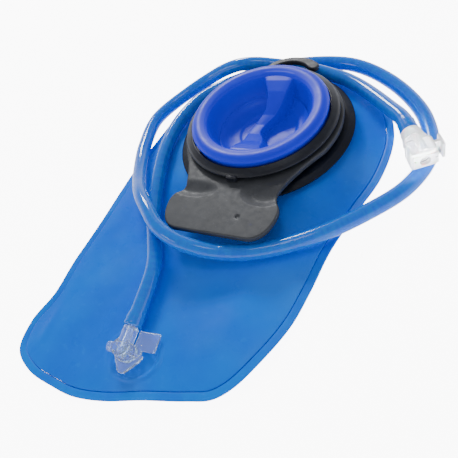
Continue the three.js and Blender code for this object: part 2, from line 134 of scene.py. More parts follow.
def spline(points: Sequence[Sequence[float]], closed: bool, per_span: int) -> list[Vector]:
    """Points along a centripetal Catmull-Rom curve.

    Args:
        points: The corners that the curve passes through, in two or three dimensions.
        closed: Whether the curve returns to its first corner.
        per_span: How many steps are made between two corners.

    Returns:
        The points, without a repeat of the first where the curve is closed.
    """
    knots = [Vector((*p, 0.0)) if len(p) == 2 else Vector(p) for p in points]
    count = len(knots)
    spans = count if closed else count - 1
    found = []
    for i in range(spans):
        start, end = knots[i], knots[(i + 1) % count]
        before = knots[i - 1] if closed or i else 2 * start - end
        after = knots[(i + 2) % count] if closed or i + 2 < count else 2 * end - start
        chords = ((before, start), (start, end), (end, after))
        gaps = [max(1e-4, math.sqrt((b - a).length)) for a, b in chords]
        leave = (start - before) / gaps[0] - (end - before) / (gaps[0] + gaps[1]) + (end - start) / gaps[1]
        reach = (end - start) / gaps[1] - (after - start) / (gaps[1] + gaps[2]) + (after - end) / gaps[2]
        leave, reach = leave * gaps[1], reach * gaps[1]
        for k in range(per_span):
            t = k / per_span
            found.append(
                start
                + leave * t
                + (3 * (end - start) - 2 * leave - reach) * t**2
                + (2 * (start - end) + leave + reach) * t**3
            )
    return found if closed else [*found, knots[-1]]


def inset(outline: Sequence[Vector], distance: float) -> list[Vector]:
    """An anticlockwise outline moved inwards by a distance."""
    count = len(outline)
    moved = []
    for i, point in enumerate(outline):
        along = (outline[(i + 1) % count] - outline[i - 1]).normalized()
        moved.append(Vector((point.x - along.y * distance, point.y + along.x * distance, 0.0)))
    return moved


def edge_distances(points: np.ndarray, outline: Sequence[Vector]) -> np.ndarray:
    """The distance from each point to the nearest side of an outline.

    Args:
        points: An array of x, y rows.
        outline: The outline's corners in order.

    Returns:
        One distance for each row.
    """
    starts = np.array([(p.x, p.y) for p in outline])
    sides = np.roll(starts, -1, axis=0) - starts
    lengths = (sides**2).sum(axis=1)
    best = np.full(len(points), 1e9)
    for start, side, length in zip(starts, sides, lengths):
        offset = points - start
        t = np.clip(offset @ side / length, 0, 1)
        best = np.minimum(best, np.linalg.norm(offset - t[:, None] * side, axis=1))
    return best


def inside(points: np.ndarray, outline: Sequence[Vector]) -> np.ndarray:
    """Whether each x, y row lies inside an outline."""
    corners = np.array([(p.x, p.y) for p in outline])
    ends = np.roll(corners, -1, axis=0)
    odd = np.zeros(len(points), bool)
    for (ax, ay), (bx, by) in zip(corners, ends):
        if ay == by:
            continue
        crosses = (points[:, 1] < ay) != (points[:, 1] < by)
        odd ^= crosses & (points[:, 0] < ax + (points[:, 1] - ay) * (bx - ax) / (by - ay))
    return odd


def mesh_object(name: str, corners: Iterable, faces: Iterable, place: Placement = Placement()) -> Piece:
    """Makes a smooth-shaded object with its place in its mesh.

    Args:
        name: The piece's name.
        corners: Vertex positions in local millimetres.
        faces: Vertex numbers of each face.
        place: Where the local frame sits.

    Returns:
        The object, linked to the scene and standing at the origin.
    """
    mesh = bpy.data.meshes.new(name)
    mesh.from_pydata([tuple(c) for c in corners], [], [tuple(f) for f in faces])
    mesh.transform(place.matrix())
    mesh.shade_smooth()
    made = bpy.data.objects.new(name, mesh)
    bpy.context.scene.collection.objects.link(made)
    return made


def outward(made: Piece, merge: bool = True) -> Piece:
    """Turns every face of a closed shell outwards, and merges doubles where asked."""
    edit = bmesh.new()
    edit.from_mesh(made.data)
    if merge:
        bmesh.ops.remove_doubles(edit, verts=edit.verts, dist=1e-6)
    bmesh.ops.recalc_face_normals(edit, faces=edit.faces)
    edit.to_mesh(made.data)
    edit.free()
    return made


def settle(made: Piece) -> Piece:
    """Applies every modifier, so that the piece is a plain mesh."""
    graph = bpy.context.evaluated_depsgraph_get()
    graph.update()
    plain = bpy.data.meshes.new_from_object(made.evaluated_get(graph))
    made.modifiers.clear()
    old = made.data
    made.data = plain
    bpy.data.meshes.remove(old)
    return made


def sharpen(made: Piece, degrees: float = 40.0) -> Piece:
    """Shades a piece smooth but keeps edges sharper than an angle."""
    made.data.set_sharp_from_angle(angle=math.radians(degrees))
    return made


def softened(profile: Profile, radius: float, steps: int = 4) -> list[Point]:
    """Rounds the corners of a closed profile.

    Args:
        profile: The profile's corners in order; corners on the axis stay as they are.
        radius: The largest rounding, cut down where a side is short.
        steps: How many short sides make each round.

    Returns:
        The rounded profile.
    """
    corners = [Vector(p) for p in profile]
    count = len(corners)
    rounded: list[Point] = []
    for i, corner in enumerate(corners):
        before, after = corners[i - 1], corners[(i + 1) % count]
        if corner.x < 1e-6 or (before - corner).length < 1e-6 or (after - corner).length < 1e-6:
            rounded.append((corner.x, corner.y))
            continue
        reach = min(radius, (before - corner).length * 0.45, (after - corner).length * 0.45)
        start = corner + (before - corner).normalized() * reach
        end = corner + (after - corner).normalized() * reach
        for k in range(steps + 1):
            t = k / steps
            p = start * (1 - t) ** 2 + corner * 2 * t * (1 - t) + end * t**2
            rounded.append((p.x, p.y))
    return rounded


def turned(
    name: str,
    profile: Profile,
    place: Placement,
    steps: int = 128,
    round_by: float = 0.3,
    along_x: bool = False,
) -> Piece:
    """A piece turned from a closed profile of (radius, height) corners.

    Args:
        name: The piece's name.
        profile: The corners in order. A profile that starts on the axis also ends there.
        place: Where the local frame sits.
        steps: How many steps make the full turn.
        round_by: The rounding of the corners.
        along_x: Whether the piece turns about the local X axis; Z otherwise.

    Returns:
        The closed piece.
    """
    points = softened(profile, round_by)
    rings = len(points)
    corners = []
    for k in range(steps):
        angle = 2 * math.pi * k / steps
        for radius, height in points:
            a, b = radius * math.cos(angle), radius * math.sin(angle)
            corners.append((height, a, b) if along_x else (a, b, height))
    faces = []
    for k in range(steps):
        this, other = k * rings, ((k + 1) % steps) * rings
        for i in range(rings):
            j = (i + 1) % rings
            if points[i][0] < 1e-6 and points[j][0] < 1e-6:
                continue
            faces.append((this + i, other + i, other + j, this + j))
    made = outward(mesh_object(name, corners, faces, place))
    return sharpen(made, 55)


def plated(
    name: str,
    outline: Sequence[Vector],
    place: Placement,
    top: Height,
    bottom: Height,
    holes: Sequence[Sequence[Vector]] = (),
    spacing: float = 2.0,
    edge_rows: Sequence[float] = (0.25, 0.6, 1.1, 1.8),
    extra: Sequence[Point] = (),
) -> Piece:
    """A plate with shaped faces: a triangulated sheet, raised on both sides and closed at its rims.

    Args:
        name: The piece's name.
        outline: The plate's outer corners, anticlockwise.
        place: Where the local frame sits.
        top: The upper height from x, y, the distance to the nearest rim and that to the outer one.
        bottom: The lower height from the same.
        holes: Outlines of the openings, anticlockwise.
        spacing: The distance between points in the open field.
        edge_rows: Distances from the rims at which extra rows of points follow them.
        extra: More points, where the faces have fine relief.

    Returns:
        The closed plate.
    """
    loops = [list(outline), *[list(reversed(hole)) for hole in holes]]
    xs, ys = [p.x for p in outline], [p.y for p in outline]
    field_points = [
        (x + (0.5 * spacing if row % 2 else 0.0), y)
        for row, y in enumerate(np.arange(min(ys), max(ys), spacing * 0.87))
        for x in np.arange(min(xs), max(xs), spacing)
    ]
    rows = [
        (p.x, p.y) for loop in loops for distance in edge_rows for p in inset(loop, distance)
    ]

    def clear(points: list[Point], margin: float) -> np.ndarray:
        """The points that lie in the plate and at least a margin from its rims."""
        array = np.array(points)
        keep = inside(array, outline)
        for hole in holes:
            keep &= ~inside(array, hole)
        array = array[keep]
        near = np.min([edge_distances(array, loop) for loop in loops], axis=0)
        return array[near > margin]

    rims = [(p.x, p.y) for loop in loops for p in loop]
    points = [Vector(p) for p in rims]
    points += [Vector(p) for p in clear(rows, edge_rows[0] * 0.8)]
    points += [Vector(p) for p in clear(field_points, edge_rows[-1] + spacing * 0.6)]
    if extra:
        points += [Vector(p) for p in clear(list(extra), edge_rows[-1])]
    edges, start = [], 0
    for loop in loops:
        size = len(loop)
        edges += [(start + i, start + (i + 1) % size) for i in range(size)]
        start += size
    flat, _, faces, *_ = delaunay_2d_cdt(points, edges, [], 0, 1e-5)
    array = np.array([(p.x, p.y) for p in flat])
    centres = np.array([array[list(f)].mean(axis=0) for f in faces])
    keep = inside(centres, outline)
    for hole in holes:
        keep &= ~inside(centres, hole)
    kept = [tuple(f) for f, good in zip(faces, keep) if good]
    outer = edge_distances(array, outline)
    near = np.min([outer, *[edge_distances(array, hole) for hole in holes]], axis=0)
    count = len(array)
    corners = [(x, y, top(x, y, d, e)) for (x, y), d, e in zip(array, near, outer)]
    corners += [(x, y, bottom(x, y, d, e)) for (x, y), d, e in zip(array, near, outer)]
    sides: dict[tuple[int, int], int] = {}
    for face in kept:
        for i, a in enumerate(face):
            b = face[(i + 1) % len(face)]
            sides[(a, b)] = sides.get((a, b), 0) + 1
    walls = [(b, a, a + count, b + count) for a, b in sides if (b, a) not in sides]
    faces_all = kept + [tuple(i + count for i in reversed(f)) for f in kept] + walls
    made = mesh_object(name, corners, faces_all, place)
    edit = bmesh.new()
    edit.from_mesh(made.data)
    loose = [v for v in edit.verts if not v.link_faces]
    bmesh.ops.delete(edit, geom=loose, context="VERTS")
    bmesh.ops.recalc_face_normals(edit, faces=edit.faces)
    edit.to_mesh(made.data)
    edit.free()
    return made


def rounding(radius: float, depth: float) -> float:
    """How far a rounded rim drops at a depth inside it."""
    if depth >= radius:
        return 0.0
    return radius - math.sqrt(max(0.0, radius**2 - (radius - depth) ** 2))


def polar(radius: float, angle: float) -> Vector:
    """The point at a distance and a direction from the origin."""
    return radius * Vector((math.cos(angle), math.sin(angle), 0.0))


def bezier(corners: Sequence[Point], steps: int) -> list[Point]:
    """Points on a Bezier curve of any order, without its end."""
    made: list[Point] = []
    for k in range(steps):
        row = [np.array(corner, float) for corner in corners]
        while len(row) > 1:
            row = [a + (b - a) * k / steps for a, b in zip(row, row[1:])]
        made.append((float(row[0][0]), float(row[0][1])))
    return made


def round_section(at: float, height: float, radius: float) -> list[Point]:
    """The round section of a ring, as (r, z) corners."""
    angles = [math.pi * k / 8 for k in range(16)]
    return [(at + radius * math.cos(a), height + radius * math.sin(a)) for a in angles]


def circle(radius: float, steps: int, x: float = 0.0, y: float = 0.0) -> list[Vector]:
    """An anticlockwise circle."""
    angles = [2 * math.pi * k / steps for k in range(steps)]
    return [Vector((x + radius * math.cos(a), y + radius * math.sin(a), 0.0)) for a in angles]


def box_part(low: Sequence[float], high: Sequence[float]) -> Piece:
    """A block between two corners, to be fused into a moulding."""
    corners = [(x, y, z) for x in (low[0], high[0]) for y in (low[1], high[1]) for z in (low[2], high[2])]
    faces = [(0, 1, 3, 2), (4, 6, 7, 5), (0, 4, 5, 1), (2, 3, 7, 6), (0, 2, 6, 4), (1, 5, 7, 3)]
    return outward(mesh_object("part", corners, faces))


def rod_part(start: Sequence[float], end: Sequence[float], radius: float) -> Piece:
    """A round rod between two points, to be fused into a moulding or cut from it."""
    first, last = Vector(start), Vector(end)
    turn = (last - first).to_track_quat("Z", "Y")
    steps = 48
    corners = []
    for middle in (first, last):
        for k in range(steps):
            angle = 2 * math.pi * k / steps
            corners.append(middle + turn @ Vector((radius * math.cos(angle), radius * math.sin(angle), 0.0)))
    faces = [(k, (k + 1) % steps, steps + (k + 1) % steps, steps + k) for k in range(steps)]
    faces += [tuple(reversed(range(steps))), tuple(range(steps, 2 * steps))]
    return outward(mesh_object("part", corners, faces))


def bevelled(part: Piece, width: float, segments: int) -> Piece:
    """Rounds the edges of a part by a width in millimetres."""
    bevel = part.modifiers.new("soft_edges", "BEVEL")
    bevel.width, bevel.segments = width * MM, segments
    return settle(part)


def prism_part(outline: Sequence[Vector], low: float, high: float) -> Piece:
    """An upright prism, to be fused into a moulding."""
    count = len(outline)
    corners = [(p.x, p.y, z) for z in (low, high) for p in outline]
    faces = [(k, (k + 1) % count, count + (k + 1) % count, count + k) for k in range(count)]
    faces += [tuple(reversed(range(count))), tuple(range(count, 2 * count))]
    return outward(mesh_object("part", corners, faces))


def fused(
    name: str,
    parts: Sequence[Piece],
    cuts: Sequence[Piece],
    place: Placement,
    voxel: float,
    soften: int,
) -> Piece:
    """Fuses closed parts into one moulding with soft edges, and cuts its bores.

    Args:
        name: The piece's name.
        parts: The parts that are added.
        cuts: The parts that are taken away after the edges are softened.
        place: Where the moulding's local frame sits.
        voxel: The size of the fusing grid, in millimetres.
        soften: How many smoothing passes round the edges.

    Returns:
        The fused piece; the parts are removed.
    """
    edit = bmesh.new()
    for part in parts:
        edit.from_mesh(part.data)
    mesh = bpy.data.meshes.new(name)
    edit.to_mesh(mesh)
    edit.free()
    made = bpy.data.objects.new(name, mesh)
    bpy.context.scene.collection.objects.link(made)
    remesh = made.modifiers.new("fuse", "REMESH")
    remesh.mode = "VOXEL"
    remesh.voxel_size = voxel * MM
    remesh.use_smooth_shade = True
    smooth = made.modifiers.new("soften", "SMOOTH")
    smooth.factor = 0.5
    smooth.iterations = soften
    settle(made)
    for part in cuts:
        tool = made.modifiers.new("cut", "BOOLEAN")
        tool.operation = "DIFFERENCE"
        tool.solver = "EXACT"
        tool.object = part
        settle(made)
    for part in [*parts, *cuts]:
        bpy.data.objects.remove(part)
    made.data.transform(place.rigid())
    made.data.shade_smooth()
    return sharpen(made, 35)


# ---- finishes -----------------------------------------------------------------------------------
def rgb(red: int, green: int, blue: int) -> Rgb:
    """A display colour, 0 to 255, as the linear colour that shaders take."""

    def linear(value: int) -> float:
        """One channel as linear light."""
        share = value / 255
        return share / 12.92 if share <= 0.04045 else ((share + 0.055) / 1.055) ** 2.4

    return linear(red), linear(green), linear(blue)


@dataclass(frozen=True)
class Finish:
    """A surface with mottled colour, uneven gloss and two sizes of relief.

    Scales are in features per metre and depths in millimetres.
    """

    name: str
    colour: Rgb
    shade: Rgb
    gloss: tuple[float, float]
    gloss_edges: tuple[float, float] = (0.3, 0.7)
    gloss_scale: float = 4.0
    mottle: float = 40.0
    contrast: tuple[float, float] = (0.35, 0.65)
    grain: float = 1500.0
    grain_depth: float = 0.02
    ripple: float = 60.0
    ripple_depth: float = 0.0
    stretch: tuple[float, float, float] = (1.0, 1.0, 1.0)
    metallic: float = 0.0
    transmission: float = 0.0
    ior: float = 1.5
    coat: float = 0.0
    coat_roughness: float = 0.12
    specular: float = 0.5
    scatter: float = 0.0
    scatter_reach: float = 2.0
    # Emission without a lamp: painted light on the parts given it; on the floor it keeps the floor evenly
    # bright.
    glow: float = 0.0
    fleck: Rgb | None = None
    fleck_edges: tuple[float, float] = (0.6, 0.72)
    fleck_share: float = 0.5
    fleck_scale: float = 9.0

    def material(self) -> bpy.types.Material:
        """The material, built at its first use."""
        return bpy.data.materials.get(self.name) or self.build()

    def noise(self, tree: Tree, source: Socket, scale: float, detail: float) -> Socket:
        """A noise texture on given coordinates."""
        node = tree.nodes.new("ShaderNodeTexNoise")
        node.inputs["Scale"].default_value = scale
        node.inputs["Detail"].default_value = detail
        tree.links.new(source, node.inputs["Vector"])
        return node.outputs["Fac"]

    def spread(self, tree: Tree, source: Socket, ends: Sequence[float], to: Sequence[float]) -> Socket:
        """Maps a value smoothly from one range to another."""
        node = tree.nodes.new("ShaderNodeMapRange")
        node.interpolation_type = "SMOOTHSTEP"
        for name, value in zip(("From Min", "From Max", "To Min", "To Max"), (*ends, *to)):
            node.inputs[name].default_value = value
        tree.links.new(source, node.inputs["Value"])
        return node.outputs["Result"]

    def bump(self, tree: Tree, height: Socket, depth: float, under: Socket | None) -> Socket:
        """Relief of a depth in millimetres, on top of another."""
        node = tree.nodes.new("ShaderNodeBump")
        node.inputs["Strength"].default_value = 1.0
        node.inputs["Distance"].default_value = depth * MM
        tree.links.new(height, node.inputs["Height"])
        if under:
            tree.links.new(under, node.inputs["Normal"])
        return node.outputs["Normal"]

    def mixed(self, tree: Tree, share: Socket, first: Rgb | Socket, second: Rgb) -> Socket:
        """A colour between two, by a share."""
        node = tree.nodes.new("ShaderNodeMix")
        node.data_type = "RGBA"
        tree.links.new(share, node.inputs[0])
        if isinstance(first, Socket):
            tree.links.new(first, node.inputs[6])
        else:
            node.inputs[6].default_value = (*first, 1.0)
        node.inputs[7].default_value = (*second, 1.0)
        return node.outputs[2]

    def coordinates(self, tree: Tree) -> Socket:
        """The piece's own coordinates, stretched."""
        source = tree.nodes.new("ShaderNodeTexCoord")
        mapping = tree.nodes.new("ShaderNodeMapping")
        mapping.inputs["Scale"].default_value = self.stretch
        tree.links.new(source.outputs["Object"], mapping.inputs["Vector"])
        return mapping.outputs["Vector"]

    def colouring(self, tree: Tree, where: Socket) -> Socket:
        """The mottled colour."""
        patches = self.spread(tree, self.noise(tree, where, self.mottle, 3.0), self.contrast, (0.0, 1.0))
        colour = self.mixed(tree, patches, self.colour, self.shade)
        if self.fleck:
            dots = self.noise(tree, where, self.mottle * self.fleck_scale, 4.0)
            specks = self.spread(tree, dots, self.fleck_edges, (0.0, self.fleck_share))
            colour = self.mixed(tree, specks, colour, self.fleck)
        return colour

    def relief(self, tree: Tree, where: Socket) -> Socket:
        """The fine relief, on top of the broad one."""
        broad = None
        if self.ripple_depth:
            broad = self.bump(tree, self.noise(tree, where, self.ripple, 2.0), self.ripple_depth, None)
        return self.bump(tree, self.noise(tree, where, self.grain, 4.0), self.grain_depth, broad)

    def build(self) -> bpy.types.Material:
        """Makes the material."""
        material = bpy.data.materials.new(self.name)
        material.use_nodes = True
        tree = material.node_tree
        shader = tree.nodes["Principled BSDF"]
        where = self.coordinates(tree)
        smudges = self.noise(tree, where, self.mottle * self.gloss_scale, 5.0)
        gloss = self.spread(tree, smudges, self.gloss_edges, self.gloss)
        tree.links.new(self.colouring(tree, where), shader.inputs["Base Color"])
        tree.links.new(gloss, shader.inputs["Roughness"])
        tree.links.new(self.relief(tree, where), shader.inputs["Normal"])
        values = {
            "Metallic": self.metallic,
            "Transmission Weight": self.transmission,
            "IOR": self.ior,
            "Coat Weight": self.coat,
            "Coat Roughness": self.coat_roughness,
            "Subsurface Weight": self.scatter,
            "Subsurface Scale": self.scatter_reach * MM,
            "Specular IOR Level": self.specular,
            "Emission Strength": self.glow,
        }
        for name, value in values.items():
            shader.inputs[name].default_value = value
        shader.inputs["Emission Color"].default_value = (1.0, 1.0, 1.0, 1.0)
        return material


@dataclass(frozen=True)
class FilmFinish(Finish):
    """Polyurethane film: soft pale patches of painted sheen, and fine calender marks."""

    # The pale patches are painted sheen: a lighter colour laid over the film in broad noise patches.
    pale: Rgb = (0.5, 0.5, 0.8)
    patches: float = 14.0
    sheen_edges: tuple[float, float] = (0.46, 0.64)
    sheen_share: float = 0.4

    def colouring(self, tree: Tree, where: Socket) -> Socket:
        """The mottled colour with broad pale patches of painted sheen over it."""
        colour = super().colouring(tree, where)
        sheen_clouds = self.noise(tree, where, self.patches, 1.5)
        broad = self.spread(tree, sheen_clouds, self.sheen_edges, (0.0, self.sheen_share))
        return self.mixed(tree, broad, colour, self.pale)


@dataclass(frozen=True)
class WeldFinish(Finish):
    """The heat-pressed border, with the waffle of the welding bar, in radians per metre."""

    waffle: float = 900.0
    waffle_depth: float = 0.015
    waffle_wobble: float = 0.4

    def relief(self, tree: Tree, where: Socket) -> Socket:
        """The waffle over the base relief."""
        under = super().relief(tree, where)
        for axis in ("X", "Y"):
            wave = tree.nodes.new("ShaderNodeTexWave")
            wave.bands_direction = axis
            wave.inputs["Scale"].default_value = self.waffle / WAVE_RATE
            wave.inputs["Distortion"].default_value = self.waffle_wobble
            tree.links.new(where, wave.inputs["Vector"])
            under = self.bump(tree, wave.outputs["Fac"], self.waffle_depth, under)
        return under


@dataclass(frozen=True)
class TubeFinish(Finish):
    """Extruded clear tube: faint lines along its length, from the tube's own map."""

    def coordinates(self, tree: Tree) -> Socket:
        """The tube's map, round by along."""
        source = tree.nodes.new("ShaderNodeUVMap")
        source.uv_map = "along"
        mapping = tree.nodes.new("ShaderNodeMapping")
        mapping.inputs["Scale"].default_value = self.stretch
        tree.links.new(source.outputs["UV"], mapping.inputs["Vector"])
        return mapping.outputs["Vector"]


FILM = FilmFinish(
    name="film_polyurethane",
    colour=rgb(0, 110, 242),
    shade=rgb(0, 122, 249),
    gloss=(0.26, 0.42),
    specular=0.12,
    mottle=22,
    grain=1400,
    grain_depth=0.012,
    ripple=55,
    ripple_depth=0.5,
    # The pale patches below are painted sheen.
    pale=rgb(76, 150, 250),
    patches=15,
    sheen_share=0.3,
    fleck=rgb(26, 126, 250),
)
WELD = WeldFinish(
    name="film_weld",
    colour=rgb(0, 114, 242),
    shade=rgb(0, 126, 248),
    gloss=(0.3, 0.44),
    specular=0.1,
    mottle=60,
    grain_depth=0.01,
)
DARK = Finish(
    name="collar_dark",
    colour=rgb(1, 8, 24),
    shade=rgb(3, 12, 32),
    gloss=(0.42, 0.56),
    specular=0.3,
    mottle=90,
    grain=2600,
    grain_depth=0.03,
    fleck=rgb(10, 20, 44),
)
GREY = Finish(
    name="handle_grey",
    colour=rgb(46, 49, 54),
    shade=rgb(54, 57, 62),
    gloss=(0.45, 0.58),
    mottle=70,
    grain=2400,
    grain_depth=0.04,
    fleck=rgb(68, 71, 78),
)
RING = Finish(
    name="ring_grey",
    colour=rgb(22, 25, 34),
    shade=rgb(28, 32, 42),
    gloss=(0.3, 0.42),
    specular=0.35,
    mottle=80,
    grain=2600,
    grain_depth=0.03,
    fleck=rgb(40, 41, 46),
)
CAP = Finish(
    name="cap_blue",
    colour=rgb(0, 28, 228),
    shade=rgb(0, 36, 234),
    gloss=(0.36, 0.46),
    mottle=30,
    grain=1800,
    grain_depth=0.002,
    specular=0.28,
)
SEAL = Finish(
    name="seal_rubber",
    colour=rgb(34, 36, 42),
    shade=rgb(46, 48, 56),
    gloss=(0.6, 0.8),
    mottle=160,
    grain=3000,
    grain_depth=0.03,
)
CLEAR = Finish(
    name="moulding_clear",
    colour=rgb(218, 238, 255),
    shade=rgb(196, 228, 255),
    gloss=(0.0, 0.05),
    mottle=110,
    grain=1500,
    grain_depth=0.004,
    ripple=160,
    ripple_depth=0.03,
    transmission=0.96,
    ior=1.3,
    coat=0.6,
    coat_roughness=0.03,
    # A faint white glow lifts the clear moulding: painted light.
    glow=0.05,
)
TUBE = TubeFinish(
    name="tube_blue",
    colour=rgb(2, 132, 248),
    shade=rgb(0, 118, 244),
    gloss=(0.08, 0.14),
    mottle=3.0,
    grain=60,
    grain_depth=0.004,
    stretch=(1.0, 12.0, 1.0),
    transmission=0.2,
    ior=1.42,
    coat=0.2,
    coat_roughness=0.08,
)
WHITE = Finish(
    name="coupling_white",
    colour=rgb(238, 239, 244),
    shade=rgb(228, 230, 240),
    gloss=(0.3, 0.42),
    mottle=120,
    grain=2200,
    grain_depth=0.02,
    scatter=0.12,
    # A white glow brightens the coupling beyond its lit colour: painted light.
    glow=0.3,
)
STEEL = Finish(
    name="steel_wire",
    colour=rgb(196, 200, 206),
    shade=rgb(160, 164, 172),
    gloss=(0.2, 0.34),
    mottle=400,
    grain=4000,
    grain_depth=0.01,
    metallic=1.0,
)


def fitted(made: Piece, finish: Finish, body: Body, nodes: Sequence[str] = ()) -> Piece:
    """Gives a piece its finish and the body that it rides on, and hides the frame's nodes that it stands for.

    Args:
        made: The piece, with its place in its mesh.
        finish: Its finish.
        body: The body that carries it.
        nodes: The frame's nodes that it replaces.

    Returns:
        The same piece.
    """
    made.data.materials.clear()
    made.data.materials.append(finish.material())
    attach(made, body.value)
    if nodes:
        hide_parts(*nodes)
    LOG.info("%s: %d faces, on %s", made.name, len(made.data.polygons), body.value)
    return made


# ---- repeated and swept details, by geometry nodes ------------------------------------------------
class NodeBuilder:
    """A small geometry node group with named inputs that ends in realised, painted geometry."""

    def __init__(self, name: str) -> None:
        """Starts a group.

        Args:
            name: The group's name.
        """
        self.tree = bpy.data.node_groups.new(name, "GeometryNodeTree")
        self.tree.interface.new_socket("Geometry", in_out="INPUT", socket_type="NodeSocketGeometry")
        self.tree.interface.new_socket("Geometry", in_out="OUTPUT", socket_type="NodeSocketGeometry")
        self.sockets: dict[str, str] = {}
        self.source = self.tree.nodes.new("NodeGroupInput")

    def value(self, name: str, kind: str = "Float") -> Socket:
        """Adds a named input and returns its socket."""
        made = self.tree.interface.new_socket(name, in_out="INPUT", socket_type=f"NodeSocket{kind}")
        self.sockets[name] = made.identifier
        return self.source.outputs[name]

    def node(self, kind: str, **values: object) -> bpy.types.Node:
        """Adds a node with linked or constant inputs, named with underscores for spaces."""
        made = self.tree.nodes.new(kind)
        for name, value in values.items():
            socket = made.inputs[name.replace("_", " ")]
            if isinstance(value, Socket):
                self.tree.links.new(value, socket)
            else:
                socket.default_value = value
        return made

    def end(self, geometry: Socket) -> None:
        """Realises the geometry, paints it and ends the group."""
        realised = self.node("GeometryNodeRealizeInstances", Geometry=geometry)
        finish = self.value("Material", "Material")
        painted = self.node("GeometryNodeSetMaterial", Geometry=realised.outputs[0], Material=finish)
        smooth = self.node("GeometryNodeSetShadeSmooth", Geometry=painted.outputs[0])
        target = self.tree.nodes.new("NodeGroupOutput")
        self.tree.links.new(smooth.outputs[0], target.inputs[0])

    def piece(self, name: str, finish: Finish, transform: Matrix, **inputs: float) -> Piece:
        """Makes a plain mesh piece with the group.

        Args:
            name: The piece's name.
            finish: The finish that the group paints.
            transform: Its place, applied to the mesh.
            **inputs: The group's inputs by name.

        Returns:
            The piece, at the origin and without the modifier.
        """
        made = mesh_object(name, [], [])
        modifier = made.modifiers.new("nodes", "NODES")
        modifier.node_group = self.tree
        modifier[self.sockets["Material"]] = finish.material()
        for key, value in inputs.items():
            modifier[self.sockets[key.replace("_", " ")]] = value
        settle(made)
        made.data.transform(transform)
        return outward(made)


class Helices(NodeBuilder):
    """Round ribs or wire wound about Z, in one or more starts."""

    def __init__(self) -> None:
        """Builds the group."""
        super().__init__("helices")
        radius, wire, height = self.value("Radius"), self.value("Wire"), self.value("Height")
        turns, starts, sides = self.value("Turns"), self.value("Starts", "Int"), self.value("Steps", "Int")
        spiral = self.node(
            "GeometryNodeCurveSpiral",
            Resolution=sides,
            Rotations=turns,
            Start_Radius=radius,
            End_Radius=radius,
            Height=height,
            Reverse=True,
        )
        profile = self.node("GeometryNodeCurvePrimitiveCircle", Resolution=12, Radius=wire)
        wound = self.node("GeometryNodeCurveToMesh", Curve=spiral.outputs[0], Fill_Caps=True)
        self.tree.links.new(profile.outputs[0], wound.inputs["Profile Curve"])
        points = self.node("GeometryNodeMeshLine", Count=starts)
        points.mode = "OFFSET"
        for name in ("Offset", "Start Location"):
            points.inputs[name].default_value = (0.0, 0.0, 0.0)
        index = self.tree.nodes.new("GeometryNodeInputIndex")
        step = self.node("ShaderNodeMath")
        step.operation = "DIVIDE"
        step.inputs[0].default_value = 2 * math.pi
        self.tree.links.new(starts, step.inputs[1])
        angle = self.node("ShaderNodeMath")
        angle.operation = "MULTIPLY"
        self.tree.links.new(index.outputs[0], angle.inputs[0])
        self.tree.links.new(step.outputs[0], angle.inputs[1])
        turn = self.node("ShaderNodeCombineXYZ", Z=angle.outputs[0])
        copies = self.node(
            "GeometryNodeInstanceOnPoints", Points=points.outputs[0], Instance=wound.outputs[0]
        )
        self.tree.links.new(turn.outputs[0], copies.inputs["Rotation"])
        self.end(copies.outputs[0])


class RibRow(NodeBuilder):
    """Equal round-topped ribs in a row along X, each along Y."""

    def __init__(self) -> None:
        """Builds the group."""
        super().__init__("rib_row")
        count, gap = self.value("Count", "Int"), self.value("Gap")
        radius, length = self.value("Radius"), self.value("Length")
        offset = self.node("ShaderNodeCombineXYZ", X=gap)
        points = self.node("GeometryNodeMeshLine", Count=count)
        points.mode = "OFFSET"
        self.tree.links.new(offset.outputs[0], points.inputs["Offset"])
        rib = self.node("GeometryNodeMeshCylinder", Vertices=16, Radius=radius, Depth=length)
        copies = self.node("GeometryNodeInstanceOnPoints", Points=points.outputs[0], Instance=rib.outputs[0])
        copies.inputs["Rotation"].default_value = (math.pi / 2, 0.0, 0.0)
        self.end(copies.outputs[0])


# ---- studio -------------------------------------------------------------------------------------
@dataclass(frozen=True)
class Camera:
    """A camera that looks down at the object from its lower right."""

    place: tuple[float, float, float] = (0.1727, -0.1432, 0.2382)
    right: tuple[float, float, float] = (0.82754, 0.47659, -0.29673)
    up: tuple[float, float, float] = (-0.2355, 0.77448, 0.58713)
    lens: float = 40.09
    sensor: float = 36.0
    near: float = 0.005

    def build(self) -> Piece:
        """Adds the camera and makes it the scene's."""
        data = bpy.data.cameras.new("camera")
        data.lens, data.sensor_width, data.clip_start = self.lens, self.sensor, self.near
        right, up = Vector(self.right).normalized(), Vector(self.up).normalized()
        made = bpy.data.objects.new("camera", data)
        axes = Matrix((right, up, right.cross(up))).transposed().to_4x4()
        made.matrix_world = Matrix.Translation(self.place) @ axes
        bpy.context.scene.collection.objects.link(made)
        bpy.context.scene.camera = made
        return made


@dataclass(frozen=True)
class SoftBox:
    """A square light that faces a point."""

    name: str
    place: tuple[float, float, float]
    size: tuple[float, float]
    watts: float
    target: tuple[float, float, float] = (0.0, 0.0, 0.0)
    spread: float = 180.0

    def build(self) -> None:
        """Adds the light."""
        data = bpy.data.lights.new(self.name, "AREA")
        data.shape = "RECTANGLE"
        data.size, data.size_y = self.size
        data.energy = self.watts
        data.spread = math.radians(self.spread)
        made = bpy.data.objects.new(self.name, data)
        aim = (Vector(self.target) - Vector(self.place)).to_track_quat("-Z", "Y")
        made.matrix_world = Matrix.Translation(self.place) @ aim.to_matrix().to_4x4()
        bpy.context.scene.collection.objects.link(made)


